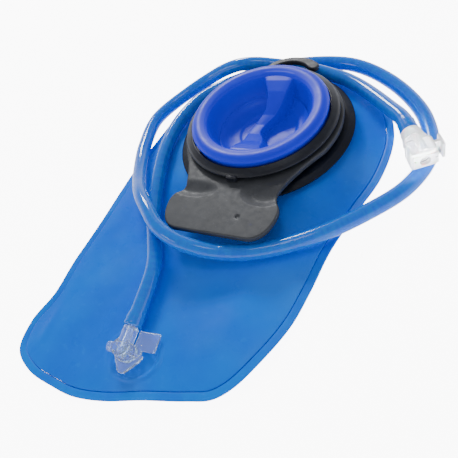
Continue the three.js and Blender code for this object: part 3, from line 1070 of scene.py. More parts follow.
@dataclass(frozen=True)
class Studio:
    """A plain pale floor under soft lights."""

    floor_size: float = 4.0
    floor_drop: float = 0.2
    sky: Rgb = (0.95, 0.96, 1.0)
    horizon: float = 1.8
    zenith: float = 0.4
    fade_between: tuple[float, float] = (0.1, 0.55)
    glow: float = 9.0
    lights: tuple[SoftBox, ...] = (
        SoftBox("key", (-0.75, 0.9, 0.75), (0.36, 0.24), 12.0, target=(0.0, 0.06, 0.03)),
        SoftBox("accent", (0.2, -0.2, 0.22), (0.01, 0.01), 0.008, target=(0.106, 0.058, 0.021), spread=5.0),
        SoftBox("top", (0.05, 0.1, 1.1), (0.3, 0.3), 1.2),
        SoftBox("front", (-0.7, -0.9, 0.9), (0.5, 0.3), 2.0),
    )

    def build(self) -> None:
        """Adds the floor, the lights and the surroundings."""
        half = self.floor_size / 2 / MM
        square = ((-half, -half), (half, -half), (half, half), (-half, half))
        floor = mesh_object("floor", [(x, y, -self.floor_drop) for x, y in square], [(0, 1, 2, 3)])
        paper = Finish(
            name="floor_paper",
            colour=rgb(250, 250, 252),
            shade=rgb(246, 247, 250),
            gloss=(0.8, 0.95),
            mottle=6,
            grain=900,
            grain_depth=0.02,
            glow=self.glow,
        )
        floor.data.materials.append(paper.material())
        floor.visible_diffuse = floor.visible_glossy = False
        world = bpy.data.worlds.new("surroundings")
        world.use_nodes = True
        tree = world.node_tree
        background = tree.nodes["Background"]
        background.inputs["Color"].default_value = (*self.sky, 1.0)
        where = tree.nodes.new("ShaderNodeTexCoord")
        split = tree.nodes.new("ShaderNodeSeparateXYZ")
        fade = tree.nodes.new("ShaderNodeMapRange")
        fade.interpolation_type = "SMOOTHSTEP"
        low, high = self.fade_between
        limits = {"From Min": low, "From Max": high, "To Min": self.horizon, "To Max": self.zenith}
        for name, value in limits.items():
            fade.inputs[name].default_value = value
        tree.links.new(where.outputs["Generated"], split.inputs["Vector"])
        tree.links.new(split.outputs["Z"], fade.inputs["Value"])
        tree.links.new(fade.outputs["Result"], background.inputs["Strength"])
        bpy.context.scene.world = world
        for light in self.lights:
            light.build()


# ---- drink tube ---------------------------------------------------------------------------------
OUTLET_PLACE = Placement(0.0, -106.0, 0.0, 13.0)
OUTLET_AXIS = 9.8
COUPLING_PLACE = Placement(96.2, 71.8, 18.9, math.degrees(math.atan2(-0.8, 0.6)), 0.8)
COLLAR_PLACE = Placement(4.0, 60.0, 0.0, 7.0)


@dataclass(frozen=True)
class DrinkTube:
    """The tube: twice round the collar, from the outlet's barb to the coupling's."""

    outer: float = 4.75
    inner: float = 3.18
    sides: int = 28
    per_span: int = 11
    map_scale: float = 10.0
    swell: float = 0.55
    lip: float = 0.25
    ridge: float = 0.42
    ridge_places: tuple[float, ...] = (2.2, 4.6, 7.0)
    edge_round: float = 0.35
    length: float = 983.4
    route: tuple[tuple[float, float, float], ...] = (
        (-13.5, -56, 10.2), (-24, -40, 10.6), (-35.5, -24.5, 11), (-50.5, 2, 11.5), (-63, 31, 11.8),
        (-68.5, 58, 11.4), (-65.5, 83, 10.9), (-57, 98, 10.5), (-46, 109.5, 10.1), (-34.5, 120.5, 9.2),
        (-21, 130.5, 8), (-5, 137, 7.3), (15, 141, 7), (32, 141.5, 6.4), (51, 136, 5.7),
        (76, 120.5, 5.2), (97, 98, 5.1), (108, 70, 5.1), (104, 44, 5.4), (89, 18, 7.3),
        (66, -9.5, 9.8), (42, -27.5, 11.4), (22, -35.6, 13.4), (8, -38.8, 16.6), (-6, -39, 19.6),
        (-20, -35, 21.4), (-34, -26, 21.8), (-47.5, -16.2, 20), (-61, -3.5, 15), (-73, 11, 11),
        (-86, 32, 8), (-95, 62, 6.6), (-83.5, 92.5, 7.8), (-71, 105, 11.6), (-57, 111.5, 17),
        (-44, 115.6, 19.9), (-32, 119.6, 18.9), (-21, 123.2, 15.9), (-10, 125.7, 13.3), (2, 126.2, 12.5),
        (14, 125, 12.1), (25, 122.8, 11.8), (37, 119.4, 11.8), (50, 112.6, 12.6), (64, 102.6, 14.4),
        (77, 92, 16.6),
    )

    def centreline(self) -> list[Vector]:
        """The tube's middle, in millimetres."""
        ends = [OUTLET_PLACE.point(0, y, OUTLET_AXIS) / MM for y in (12.8, 26)]
        far = [COUPLING_PLACE.point(x / COUPLING_PLACE.scale, 0, 0) / MM for x in (-12, -0.3)]
        return spline([*ends, *self.route, *far], closed=False, per_span=self.per_span)

    def radius(self, along: float, total: float) -> float:
        """The outer radius at a distance from the outlet: it swells over both barbs."""
        near = 1 - smoothstep(5.5, 10.5, along)
        back = total - along
        far = 1 - smoothstep(6.0, 10.0, back)
        lips = self.lip * bell(along - 1.0, 0.8)
        ridges = self.ridge * sum(bell(back - at, 0.5) for at in self.ridge_places)
        edge = self.edge_round * bell(min(along, back), 0.25)
        return self.outer + self.swell * max(near, far * 0.5) + lips + ridges - edge

    def build(self) -> tuple[Piece, list[Vector]]:
        """Sweeps the hollow tube.

        Returns:
            The tube and its centreline in metres.
        """
        middle = self.centreline()
        count, sides = len(middle), self.sides
        alongs = [0.0]
        for a, b in zip(middle, middle[1:]):
            alongs.append(alongs[-1] + (b - a).length)
        across = Vector((0, 0, 1))
        corners: list[Vector] = []
        for i, point in enumerate(middle):
            ahead = (middle[min(i + 1, count - 1)] - middle[max(i - 1, 0)]).normalized()
            across = (across - ahead * across.dot(ahead)).normalized()
            other = ahead.cross(across)
            outer = self.radius(alongs[i], alongs[-1])
            for radius in (outer, outer - self.outer + self.inner):
                for k in range(sides):
                    angle = 2 * math.pi * k / sides
                    corners.append(point + radius * (math.cos(angle) * across + math.sin(angle) * other))
        faces, maps = [], []

        def quad(i: int, j: int, k: int, low: int, high: int) -> None:
            """One wall face between two rings, with its place on the tube's map."""
            following = (k + 1) % sides
            faces.append((i + k, j + k, j + following, i + following))
            near, far = k / sides, (k + 1) / sides
            maps.append([(near, low), (near, high), (far, high), (far, low)])

        for i in range(count - 1):
            start, end = 2 * sides * i, 2 * sides * (i + 1)
            for k in range(sides):
                quad(start, end, k, alongs[i], alongs[i + 1])
                quad(end + sides, start + sides, k, alongs[i + 1], alongs[i])
        last = 2 * sides * (count - 1)
        for k in range(sides):
            quad(sides, 0, k, 0.0, 0.0)
            quad(last, last + sides, k, alongs[-1], alongs[-1])
        made = mesh_object("drink_tube_hose", corners, faces)
        layer = made.data.uv_layers.new(name="along")
        values = [value for face in maps for u, v in face for value in (u, v * MM * self.map_scale)]
        layer.data.foreach_set("uv", values)
        outward(made, merge=False)
        LOG.info("tube: %.1f mm along its middle", alongs[-1])
        fitted(made, TUBE, Body.POUCH, ["drink_tube"])
        return made, [point * MM for point in middle]


# ---- pouch --------------------------------------------------------------------------------------
@dataclass(frozen=True)
class Pouch:
    """Two films welded round their border, with a fill hole and an outlet hole in the upper one."""

    weld_width: float = 4.8
    weld_height: float = 1.6
    ridge_height: float = 0.12
    ridge_rate: float = 2.1
    gap: float = 0.3
    seam: float = 0.04
    film: float = 0.8
    pillow: float = 2.6
    slope: float = 30.0
    collar_rise: float = 6.9
    fill_hole: float = 41.0
    outlet_hole: float = 6.0
    creases: int = 11
    crease_height: float = 0.3
    wave_height: float = 1.5
    wave_drop: float = 0.7
    fine_height: float = 0.4
    dish_depth: float = 0.35
    pressed_middle: Point = (3.5, -105.0)
    fine_middle: Point = (4.0, -105.0)
    outline: tuple[Point, ...] = (
        (86, 50), (82, 84), (68, 110), (46, 128), (18, 138), (0, 140), (-26, 136), (-52, 124), (-73, 100),
        (-84, 75), (-86, 45), (-86, 12), (-82, -32), (-79, -64), (-74, -92), (-77, -114), (-71, -131),
        (-54, -139), (-34, -140), (-18, -139), (2, -133), (24, -123), (45, -114), (57, -108), (65, -98),
        (72, -80), (77, -58), (78, -35), (78, -8), (82, 20),
    )
    lifts: tuple[tuple[float, float, float, float], ...] = (
        (-84, -88, 24, 2.6), (76, -86, 26, 2.2), (-66, -142, 20, 1.8), (20, -130, 16, 1.2), (92, 20, 22, 1.2),
    )

    def lift(self, x: float, y: float) -> float:
        """How far both films stand off the floor at a wavy edge."""
        return sum(h * math.exp(-((x - a) ** 2 + (y - b) ** 2) / r**2) for a, b, r, h in self.lifts)

    def relief(self, x: float, y: float, edge: float) -> float:
        """Soft creases, the fold at the lower left and the pressed ring round the outlet."""
        rise = smoothstep(0, 22, edge)
        fill = Vector((x - COLLAR_PLACE.x, y - COLLAR_PLACE.y))
        angle, reach = math.atan2(fill.y, fill.x), fill.length - 59
        creases = self.crease_height * math.sin(self.creases * angle + 1.3) * bell(reach - 8, 14)
        soft = self.wave_height * noise.noise(Vector((x * 0.026, y * 0.019, 4.2))) - self.wave_drop
        fine = self.fine_height * noise.noise(Vector((x * 0.07, y * 0.045, 9.1)))
        along = smoothstep(-134, -118, y) * (1 - smoothstep(-96, -70, y))
        fold = along * bell(x + 61 + 0.16 * (y + 115), 3.2)
        a, b = self.pressed_middle
        ring = math.hypot((x - a) / 1.12, (y - b) / 0.94)
        turn = math.atan2(y - b, x - a)
        pressed = (0.4 + 0.5 * max(0.0, math.cos(turn + 0.5))) * bell(ring - 15, 1.3)
        dish = -self.dish_depth * bell(ring, 13)
        return rise * (creases + soft + fine + fold) + min(1.0, edge / 6) * (pressed + dish)

    def film_top(self, x: float, y: float, rim: float, edge: float) -> float:
        """The upper film's outer face."""
        t = min(1.0, edge / self.slope)
        from_hole = math.hypot(x - COLLAR_PLACE.x, y - COLLAR_PLACE.y) - self.fill_hole
        rise = self.collar_rise * bell(from_hole, self.slope)
        height = self.gap + 2 * self.film + t * (2 - t) * (self.pillow + rise)
        return height + self.relief(x, y, edge) + self.lift(x, y) - rounding(0.25, rim)

    def weld_top(self, x: float, y: float, rim: float, edge: float) -> float:
        """The border's upper face, with faint ridges along it."""
        ridges = self.ridge_height * math.cos(self.ridge_rate * edge)
        return self.weld_height + self.lift(x, y) - rounding(0.6, rim) + ridges

    def build(self) -> None:
        """Makes the border and both films."""
        outline = spline(self.outline, closed=True, per_span=10)
        inner = inset(outline, self.weld_width)
        rim = inset(outline, self.weld_width + self.seam)
        border = plated(
            "weld_border",
            outline,
            Placement(),
            self.weld_top,
            lambda x, y, d, e: self.lift(x, y) + rounding(0.3, d),
            holes=[inner],
            spacing=1.6,
            edge_rows=(0.15, 0.4, 0.8, 1.4),
        )
        fitted(border, WELD, Body.POUCH, ["perimeter_weld"])
        back = plated(
            "back_film",
            rim,
            Placement(),
            lambda x, y, d, e: self.film + self.lift(x, y) - rounding(0.2, d),
            lambda x, y, d, e: self.lift(x, y) + rounding(0.2, d),
            spacing=5,
        )
        fitted(back, FILM, Body.POUCH, ["bag_back_film"])
        fill = circle(self.fill_hole, 120, COLLAR_PLACE.x, COLLAR_PLACE.y)
        exit_hole = circle(self.outlet_hole, 40, OUTLET_PLACE.x, OUTLET_PLACE.y)
        near_outlet = [
            (self.fine_middle[0] + radius * math.cos(angle), self.fine_middle[1] + radius * math.sin(angle))
            for radius in np.arange(7, 22, 0.65)
            for angle in np.linspace(0, 2 * math.pi, 90, endpoint=False)
        ]
        front = plated(
            "front_film",
            rim,
            Placement(),
            self.film_top,
            lambda x, y, d, e: self.film_top(x, y, 9.0, e) - self.film + rounding(0.25, d),
            holes=[fill, exit_hole],
            spacing=1.7,
            extra=near_outlet,
        )
        fitted(front, FILM, Body.POUCH, ["bag_front_film"])


# ---- collar -------------------------------------------------------------------------------------
@dataclass(frozen=True)
class Thread:
    """Crest-clearance threads of the neck and the cap."""

    lead: float = 6.0
    starts: int = 2
    turns: float = 0.42
    radius: float = 0.75
    bottom: float = 25.2

    def ribs(self, name: str, finish: Finish, at: float, bottom: float) -> Piece:
        """Wound ribs at a radius, from a height."""
        place = COLLAR_PLACE.rigid() @ Matrix.Translation((0, 0, bottom * MM))
        return Helices().piece(
            name, finish, place,
            Radius=at * MM, Wire=self.radius * MM, Height=self.lead * self.turns * MM,
            Turns=self.turns, Starts=self.starts, Steps=90,
        )


@dataclass(frozen=True)
class Collar:
    """Threaded neck on the film, the handle plate round it and the grey ring on top."""

    neck_inner: float = 37.5
    neck_outer: float = 40.0
    neck_bottom: float = 9.0
    neck_top: float = 29.0
    flange: float = 59.0
    flange_bottom: float = 12.0
    flange_top: float = 15.2
    shoulder: float = 44.0
    plate_bottom: float = 18.5
    plate_top: float = 22.0
    plate_radius: float = 53.0
    paddle_angle: float = -24.0
    bore: float = 40.4
    waist: Point = (31.0, -57.0)
    wide: Point = (36.5, -72.0)
    corner: float = 23.0
    end: float = -90.5
    hook: tuple[Point, ...] = ((-18, 48), (-15.5, 55), (-9, 61.5), (1, 64.2), (11, 62.2), (18, 57.4))
    hook_half: tuple[float, float] = (2.3, 3.4)
    scallops: tuple[tuple[float, float, float, float], ...] = (
        (-23.5, -59.5, 16.5, 7.5), (22.5, -58.5, 14.5, 9.5),
    )
    scallop_depth: float = 1.9
    dimple: Point = (13.5, -76.7)
    dimple_depth: float = 0.7
    dimple_radius: float = 1.3

    def neck(self) -> None:
        """The neck with its flange, shoulder and threads."""
        body = turned(
            "fill_neck",
            [
                (self.neck_inner, self.neck_bottom), (self.neck_outer, self.neck_bottom),
                (self.neck_outer, self.flange_bottom), (self.flange - 1.2, self.flange_bottom),
                (self.flange, self.flange_bottom + 0.6), (self.flange, 13.4),
                (self.flange - 4, self.flange_top), (self.shoulder + 1.2, self.flange_top + 0.5),
                (self.shoulder, self.flange_top + 1.4),
                (self.shoulder, 18.2), (self.neck_outer, 18.2), (self.neck_outer, self.neck_top),
                (self.neck_inner, self.neck_top),
            ],
            COLLAR_PLACE,
            steps=192,
            round_by=0.45,
        )
        fitted(body, DARK, Body.POUCH, ["port_neck"])
        thread = Thread()
        ribs = thread.ribs("neck_threads", DARK, self.neck_outer + 0.15, thread.bottom)
        fitted(ribs, DARK, Body.POUCH)

    def half_paddle(self) -> list[Point]:
        """The handle's right side, from its middle end up to the plate's rim."""
        (waist_x, waist_y), (wide_x, wide_y) = self.waist, self.wide
        rim = math.radians(self.paddle_angle)
        rim_point = (self.plate_radius * math.cos(rim), self.plate_radius * math.sin(rim))
        start = (self.corner, self.end)
        curves = (
            (start, (self.corner + 7, self.end), (wide_x - 0.5, wide_y - 12), self.wide),
            (self.wide, (wide_x, wide_y + 8), (waist_x, waist_y - 7), self.waist),
            (self.waist, (waist_x + 3, waist_y + 14), rim_point),
        )
        points: list[Point] = [(x, self.end) for x in np.arange(0, self.corner, 1.5)]
        for curve in curves:
            points += bezier(curve, 16)
        return points

    def outline(self) -> list[Vector]:
        """The handle plate's outline with its hook, anticlockwise."""
        right = self.half_paddle()
        left = [(-x, y) for x, y in reversed(right[1:])]
        middle = spline(self.hook, closed=False, per_span=6)
        low, high = self.hook_half
        sides: tuple[list[Vector], list[Vector]] = ([], [])
        for i, point in enumerate(middle):
            along = (middle[min(i + 1, len(middle) - 1)] - middle[max(i - 1, 0)]).normalized()
            half = low + (high - low) * smoothstep(0.6, 1.0, i / (len(middle) - 1))
            across = Vector((along.y, -along.x, 0.0)) * half
            for side, offset in zip(sides, (across, -across)):
                if (point + offset).length > self.plate_radius + 0.4:
                    side.append(point + offset)
        tip, ahead = middle[-1], (middle[-1] - middle[-2]).normalized()
        first = math.atan2(ahead.y, ahead.x) - math.pi / 2
        cap = [tip + polar(high, first + k * math.pi / 10) for k in range(1, 10)]
        angles = [math.atan2(side[0].y, side[0].x) for side in sides]
        start = math.radians(self.paddle_angle)
        stop = math.pi - start

        def arc(a: float, b: float) -> list[Vector]:
            """Points on the plate's rim between two angles."""
            steps = max(2, round((b - a) / math.radians(2.5)))
            return [polar(self.plate_radius, a + (b - a) * k / steps) for k in range(steps + 1)]

        loop = [Vector((x, y, 0.0)) for x, y in right]
        loop += arc(start, angles[0]) + sides[0] + cap + list(reversed(sides[1])) + arc(angles[1], stop)
        return loop + [Vector((x, y, 0.0)) for x, y in left]

    def plate_face(self, x: float, y: float, rim: float, edge: float) -> float:
        """The handle plate's upper face, with a finger scallop each side and a dimple."""
        height = self.plate_top - rounding(0.9, rim)
        for a, b, wide, tall in self.scallops:
            u, v = (x - a) / wide, (y - b) / tall
            inside_by = 1 - math.hypot(u, v)
            if inside_by > 0:
                shape = min(1.0, inside_by / 0.5) * (1 - smoothstep(-0.4, 0.95, v))
                height -= self.scallop_depth * shape
        a, b = self.dimple
        return height - self.dimple_depth * math.exp(-(math.hypot(x - a, y - b) / self.dimple_radius) ** 4)

    def handle(self) -> None:
        """The handle plate: paddle, hook and bore."""
        outline = self.outline()
        edges = [
            (a + wide * share * math.cos(angle), b + tall * share * math.sin(angle))
            for a, b, wide, tall in self.scallops
            for share in (1.0, 0.98, 0.94, 0.88, 0.8, 0.7)
            for angle in np.linspace(0, 2 * math.pi, 84, endpoint=False)
        ]
        for radius in (0.4, 0.8, 1.1, 1.4, 1.8):
            edges += [(p.x, p.y) for p in circle(radius, 16, *self.dimple)]
        made = plated(
            "handle",
            outline,
            COLLAR_PLACE,
            self.plate_face,
            lambda x, y, d, e: self.plate_bottom + rounding(0.6, d),
            holes=[circle(self.bore, 160)],
            spacing=1.15,
            edge_rows=(0.07, 0.22, 0.45, 0.75, 1.1),
            extra=edges,
        )
        fitted(sharpen(made, 50), GREY, Body.POUCH, ["handle_plate"])

    def ring(self) -> None:
        """The ring that clamps the plate, with its index tab."""
        bottom = self.plate_top + 0.3
        made = turned(
            "collar_clamp_ring",
            [
                (self.bore, bottom), (46.5, bottom), (46.5, bottom + 1.2), (50.3, bottom + 1.2),
                (51.1, bottom + 2), (51.1, bottom + 2.9), (49.8, bottom + 4.2), (46.7, 28.2),
                (45.9, 28.2), (45.9, bottom + 1.4), (self.bore, bottom + 1.4),
            ],
            COLLAR_PLACE,
            steps=192,
            round_by=0.5,
        )
        fitted(made, RING, Body.POUCH, ["collar_ring"])
        tab = bevelled(box_part((-3.4, -52.6, bottom + 0.2), (3.4, -50.2, bottom + 3.6)), 0.6, 4)
        tab.name = tab.data.name = "ring_index_tab"
        tab.data.transform(COLLAR_PLACE.rigid())
        tab.data.shade_smooth()
        fitted(tab, RING, Body.POUCH)

    def build(self) -> None:
        """Makes every piece of the collar."""
        self.neck()
        self.handle()
        self.ring()


# ---- cap ----------------------------------------------------------------------------------------
@dataclass(frozen=True)
class Cap:
    """The screw cap: a dished bowl with an S-shaped grip across it, and its two seals."""

    steps: int = 320
    top: tuple[Point, ...] = (
        (0, 13.6), (12, 13.7), (22, 14.2), (27.5, 15.8), (31.2, 19.0), (33.2, 23.5), (34.2, 28), (34.8, 31.1),
        (35.6, 32.2), (37.6, 33.0), (40.3, 33.6), (42.8, 33.2), (44.6, 31.9), (45.3, 30.3), (44.9, 29.0),
    )
    under: tuple[Point, ...] = (
        (44.9, 24.4), (42.5, 24.4), (42.5, 30.5), (36.4, 30.5), (36.4, 22.25), (35.0, 22.25), (35.0, 19.75),
        (36.4, 19.75), (36.4, 17.0), (34.5, 13.5), (30.0, 12.0), (0.0, 12.0),
    )
    grip: tuple[Point, ...] = ((3, 36.5), (4.5, 24), (3.5, 12), (-1, 2), (-2.5, -8), (1.5, -20), (3, -36.5))
    half_widths: tuple[float, ...] = (11.0, 7.0, 4.6, 3.6, 3.8, 6.6, 10.5)
    saddle: tuple[Point, ...] = (
        (-37, 31.6), (-33, 31.2), (-27, 28.6), (-20, 24.6), (-10, 20.8), (0, 19.2), (8, 20.8),
        (14, 24.2), (22, 28.6), (30, 31.0), (37, 31.6),
    )
    draft: float = 6.5
    grip_reach: float = 37.0
    floor_reach: float = 30.0
    grip_soft: float = 0.45
    joint_soft: float = 0.8

    def grip_height(self, x: np.ndarray, y: np.ndarray) -> np.ndarray:
        """The grip's height over each point, far below the bowl away from it.

        Args:
            x: Local x of each point.
            y: Local y of each point.

        Returns:
            A height for each point.
        """
        line = spline(self.grip, closed=False, per_span=14)
        centres = np.array([(p.x, p.y) for p in line])
        places = np.linspace(0, len(self.half_widths) - 1, len(line))
        halves = np.interp(places, range(len(self.half_widths)), self.half_widths)
        distance = np.hypot(x[:, None] - centres[:, 0], y[:, None] - centres[:, 1]) - halves
        out = distance.min(axis=1)
        crest = np.interp(y, [p[0] for p in self.saddle], [p[1] for p in self.saddle])
        crest = crest - 0.02 * np.clip(out + 4, 0, None) ** 2
        wall = crest - self.draft * np.clip(out, -3, None)
        return (crest + wall - np.sqrt((crest - wall) ** 2 + self.grip_soft**2)) / 2

    def ridge(self, x: np.ndarray, y: np.ndarray) -> np.ndarray:
        """Low curved steps in the floors of both wells, the right one higher."""
        reach = np.hypot(x - 1.0, y + 1.0)
        right = 1.7 / (1 + np.exp(-(reach - 21.5) * 2.6)) * np.clip(x / 8, 0, 1)
        left = 0.6 / (1 + np.exp(-(reach - 17.0) * 2.6)) * np.clip(-x / 8, 0, 1)
        return right + left

    def shell(self) -> Piece:
        """The cap's body."""
        top = [(p.x, p.y) for p in spline(self.top, closed=False, per_span=7)]
        fine: list[Point] = []
        for (r0, z0), (r1, z1) in zip(top, top[1:]):
            pieces = max(1, round(math.hypot(r1 - r0, z1 - z0) / 0.55))
            fine += [(r0 + (r1 - r0) * k / pieces, z0 + (z1 - z0) * k / pieces) for k in range(pieces)]
        fine.append(top[-1])
        lower = softened([fine[-1], *self.under], 0.4, 3)
        lower = [p for p in lower if not (p[0] > 44.6 and p[1] > 28.4)]
        radii = np.array([p[0] for p in fine + lower])
        heights = np.array([p[1] for p in fine + lower])
        rings = len(radii)
        angles = np.arange(self.steps) * 2 * math.pi / self.steps
        x = np.cos(angles)[:, None] * radii
        y = np.sin(angles)[:, None] * radii
        z = np.tile(heights, (self.steps, 1))
        shown = len(fine)
        flat_x, flat_y = x[:, :shown].ravel(), y[:, :shown].ravel()
        grip = self.grip_height(flat_x, flat_y)
        from_middle = np.hypot(flat_x, flat_y)
        base = z[:, :shown].ravel() + self.ridge(flat_x, flat_y) * (from_middle < self.floor_reach)
        raised = (base + grip + np.sqrt((base - grip) ** 2 + self.joint_soft**2)) / 2
        keep = from_middle < self.grip_reach
        z[:, :shown] = np.where(keep, np.maximum(raised - 0.02, base), base).reshape(self.steps, shown)
        corners = np.stack([x, y, z], axis=-1).reshape(-1, 3)
        faces = []
        for k in range(self.steps):
            this, other = k * rings, ((k + 1) % self.steps) * rings
            faces += [(this + i, this + i + 1, other + i + 1, other + i) for i in range(rings - 1)]
        return outward(mesh_object("cap", corners, faces, COLLAR_PLACE))

    def build(self) -> None:
        """Makes the cap, its threads and its seals."""
        fitted(sharpen(self.shell(), 60), CAP, Body.CAP, ["cap_shell"])
        thread = Thread()
        ribs = thread.ribs("cap_threads", CAP, 42.35, thread.bottom + thread.lead / 4)
        fitted(ribs, CAP, Body.CAP)
        lip = [(37.9, 29.3), (39.8, 29.3), (39.8, 30.2), (37.9, 30.2)]
        face = turned("cap_lip_seal", lip, COLLAR_PLACE, 160, 0.25)
        fitted(face, SEAL, Body.FACE_SEAL, ["cap_face_seal"])
        ring = turned("cap_plug_ring", round_section(36.25, 21, 0.95), COLLAR_PLACE, 160, 0.0)
        fitted(ring, SEAL, Body.O_RING, ["cap_o_ring"])


# ---- outlet -------------------------------------------------------------------------------------
@dataclass(frozen=True)
class Outlet:
    """The clear elbow that takes water from the film to the tube."""

    film_clear: float = 5.3
    barb_end: float = 21.0

    def build(self) -> None:
        """Makes the flange and the elbow."""
        oval = [Vector((1 + 13 * p.x, 1 + 9 * p.y, 0.0)) for p in circle(1.0, 72)]
        flange = plated(
            "outlet_base",
            oval,
            OUTLET_PLACE,
            lambda x, y, d, e: 2.2 - rounding(0.4, d),
            lambda x, y, d, e: 1.1 + rounding(0.2, d),
            holes=[circle(5.7, 48)],
            spacing=1.0,
            edge_rows=(0.1, 0.3, 0.6),
        )
        fitted(flange, CLEAR, Body.POUCH, ["outlet_flange"])
        height, clear = OUTLET_AXIS, self.film_clear
        wedge = [Vector(p) for p in ((-6.5, 4), (-5.5, -3), (0.5, -12), (4, -12), (11, -4), (9, 4))]
        side = ((0, clear), (11.5, clear), (11.5, 7.1), (2, 14.2), (0, 14.2))
        rib = prism_part([Vector(p) for p in side], 0, 1.6)
        rib.data.transform(Matrix.Rotation(math.pi / 2, 4, "X"))
        rib.data.transform(Matrix.Translation((0, -1.2 * MM, 0)))
        barb = turned(
            "part",
            [
                (0, 11.5), (2.3, 11.5), (2.3, 15), (2.75, 15.1), (2.3, 17.2), (2.75, 17.3), (2.2, 19.6),
                (2.0, self.barb_end), (0, self.barb_end),
            ],
            Placement(), 48, 0.1, along_x=True,
        )
        barb.data.transform(Matrix.Rotation(math.pi / 2, 4, "Z"))
        barb.data.transform(Matrix.Translation((0, 0, height * MM)))
        parts = [
            rod_part((0, 0, 1.5), (0, 0, height + 3.6), 5.3),
            rod_part((0, 0, height), (0, 12.4, height), 4.4),
            barb,
            rod_part((-10, 0.5, height - 1.2), (0, 0.5, height - 1.2), 3.0),
            prism_part(wedge, clear, clear + 2.4),
            box_part((4.5, 1.5, clear), (17.5, 12.5, clear + 1.9)),
            rib,
        ]
        cuts = [
            rod_part((0, 0, -1), (0, 0, height), 3.0),
            rod_part((0, 0, height), (0, self.barb_end + 1, height), 1.5),
        ]
        elbow = fused("outlet_elbow_clear", parts, cuts, OUTLET_PLACE, 0.28, 4)
        fitted(elbow, CLEAR, Body.POUCH, ["outlet_elbow"])


# ---- quick coupling -----------------------------------------------------------------------------
@dataclass(frozen=True)
class Spring:
    """A wound wire spring of the coupling, which a joint presses towards its seat."""

    name: str
    node: str
    joint: str
    radius: float
    wire: float
    height: float
    turns: float
    seat: tuple[float, float, float]
    along: tuple[float, float, float]
    keep: float

    def build(self) -> Piece:
        """Winds the spring."""
        along = Vector(self.along)
        stand = Vector((0, 0, 1)).rotation_difference(along).to_matrix().to_4x4()
        place = COUPLING_PLACE.rigid() @ Matrix.Translation(Vector(self.seat) * MM) @ stand
        made = Helices().piece(
            self.name, STEEL, place,
            Radius=self.radius * MM, Wire=self.wire * MM, Height=self.height * MM,
            Turns=self.turns, Starts=1, Steps=110,
        )
        fitted(made, STEEL, Body.POUCH, [self.node])
        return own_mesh(made)


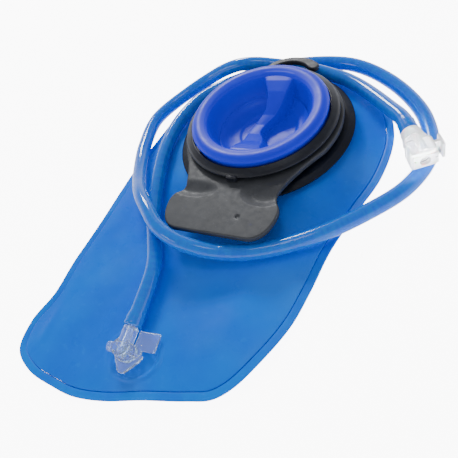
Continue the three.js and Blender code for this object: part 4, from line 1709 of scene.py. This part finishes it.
@dataclass(frozen=True)
class Coupling:
    """The white push-button coupling on the tube's far end, along local X."""

    travel: float = 1.8
    springs: tuple[Spring, ...] = (
        Spring(
            "poppet_return_spring", "poppet_spring", "poppet_push",
            radius=2.9, wire=0.35, height=5.2, turns=3.6, seat=(5.5, 0, 0), along=(1, 0, 0), keep=0.4,
        ),
        Spring(
            "latch_return_spring", "latch_spring", "latch_press",
            radius=1.6, wire=0.26, height=2.2, turns=2.5, seat=(24.6, 10.25, 0), along=(0, 1, 0), keep=0.4,
        ),
    )

    def turned_x(self, name: str, profile: Profile, round_by: float = 0.25) -> Piece:
        """A piece turned about the coupling's axis from (x, radius) corners."""
        return turned(name, [(r, x) for x, r in profile], COUPLING_PLACE, 96, round_by, along_x=True)

    def body(self) -> Piece:
        """The housing with its slot and stepped bore."""
        shell = [(0, 0), (6.0, 0), (6.9, 0.8), (7.3, 3.5), (7.5, 5.2), (8.4, 9.5), (8.6, 28), (0, 28)]
        outer = turned("part", shell, Placement(), 96, 0.5, along_x=True)
        rings = [
            turned(
                "part",
                [(0, x - 0.55), (r, x - 0.55), (r + 0.45, x), (r, x + 0.55), (0, x + 0.55)],
                Placement(), 96, 0.2, along_x=True,
            )
            for x, r in ((1.4, 7.0), (10.5, 8.5))
        ]
        housing = bevelled(box_part((14.5, -9.5, -8), (30, 9.5, 8)), 2.6, 6)
        face = bevelled(box_part((29, -8.2, -5.2), (30.7, 9.2, 5.2)), 0.7, 6)
        bore = [
            (0, -1), (4.8, -1), (4.8, 5), (5.6, 5), (5.6, 15.2), (3.6, 15.2), (3.6, 17.2), (5, 17.2),
            (5, 25.2), (6.15, 25.2), (6.15, 27.4), (3.7, 27.4), (3.7, 30.4), (4.2, 31), (4.2, 33), (0, 33),
        ]
        cuts = [
            turned("part", bore, Placement(), 96, 0.0, along_x=True),
            box_part((19.9, -12, -6.8), (22.5, 12, 6.8)),
            *(rod_part((29.5, y, 1.2), (31.5, y, 1.2), 0.8) for y in (-6.6, 7.6)),
        ]
        return fused("coupling_housing", [outer, *rings, housing, face], cuts, COUPLING_PLACE, 0.3, 4)

    def latch(self) -> Piece:
        """The sliding plate and its thumb pad."""
        pad = bevelled(box_part((15.5, 13.1, -6.8), (26.5, 15.3, 6.8)), 0.9, 4)
        sheet = bevelled(box_part((20.2, -9.3, -6.4), (22.2, 13.6, 6.4)), 0.25, 4)
        hole = rod_part((19, self.travel, 0), (24, self.travel, 0), 5.2)
        return fused("latch_plate", [pad, sheet], [hole], COUPLING_PLACE, 0.22, 2)

    def build(self) -> list[Piece]:
        """Makes the coupling.

        Returns:
            Every piece that the tube carries.
        """
        pieces = [fitted(self.body(), WHITE, Body.POUCH, ["coupling_body"])]
        tail = self.turned_x(
            "coupling_barb",
            [
                (-9, 1.5), (-9, 2.1), (-6.4, 2.7), (-6.4, 2.2), (-3.4, 2.7), (-3.4, 2.2), (0.3, 2.2),
                (0.3, 4.5), (4.4, 4.5), (4.4, 1.7), (0.3, 1.5),
            ],
            round_by=0.12,
        )
        pieces.append(fitted(tail, WHITE, Body.POUCH, ["coupling_tail"]))
        pieces.append(fitted(self.latch(), WHITE, Body.LATCH, ["coupling_latch"]))
        upright = Matrix.Rotation(math.pi / 2, 4, "X")
        ribs = RibRow().piece(
            "latch_grip_ribs",
            WHITE,
            COUPLING_PLACE.rigid() @ Matrix.Translation((17.5 * MM, 15.3 * MM, 0)) @ upright,
            Count=6, Gap=1.4 * MM, Radius=0.32 * MM, Length=10 * MM,
        )
        pieces.append(fitted(ribs, WHITE, Body.LATCH))
        poppet = self.turned_x(
            "poppet_stem",
            [
                (5.8, 0), (5.8, 1.1), (11.2, 1.1), (11.2, 4.4), (12.8, 4.4), (12.8, 2.6), (16.6, 2.6),
                (17, 2.2), (17, 0),
            ],
        )
        pieces.append(fitted(poppet, WHITE, Body.POPPET, ["coupling_poppet"]))
        seal = self.turned_x("poppet_ring", [(13.1, 2.9), (13.1, 4.2), (14.9, 4.2), (14.9, 2.9)])
        pieces.append(fitted(seal, SEAL, Body.POPPET, ["poppet_seal"]))
        section = round_section(5.2, 26.3, 0.65)
        mouth = turned("mouth_ring", section, COUPLING_PLACE, 96, 0.0, along_x=True)
        pieces.append(fitted(mouth, SEAL, Body.POUCH, ["mouth_o_ring"]))
        pieces += [spring.build() for spring in self.springs]
        return pieces


# ---- whole --------------------------------------------------------------------------------------
def main() -> None:
    """Builds the whole scene."""
    logging.basicConfig(level=logging.INFO, format="%(message)s")
    Camera().build()
    tube = DrinkTube()
    hose, middle = tube.build()
    fittings = Coupling().build()
    Pouch().build()
    Collar().build()
    Cap().build()
    Outlet().build()
    Studio().build()


if __name__ == "__main__":
    main()
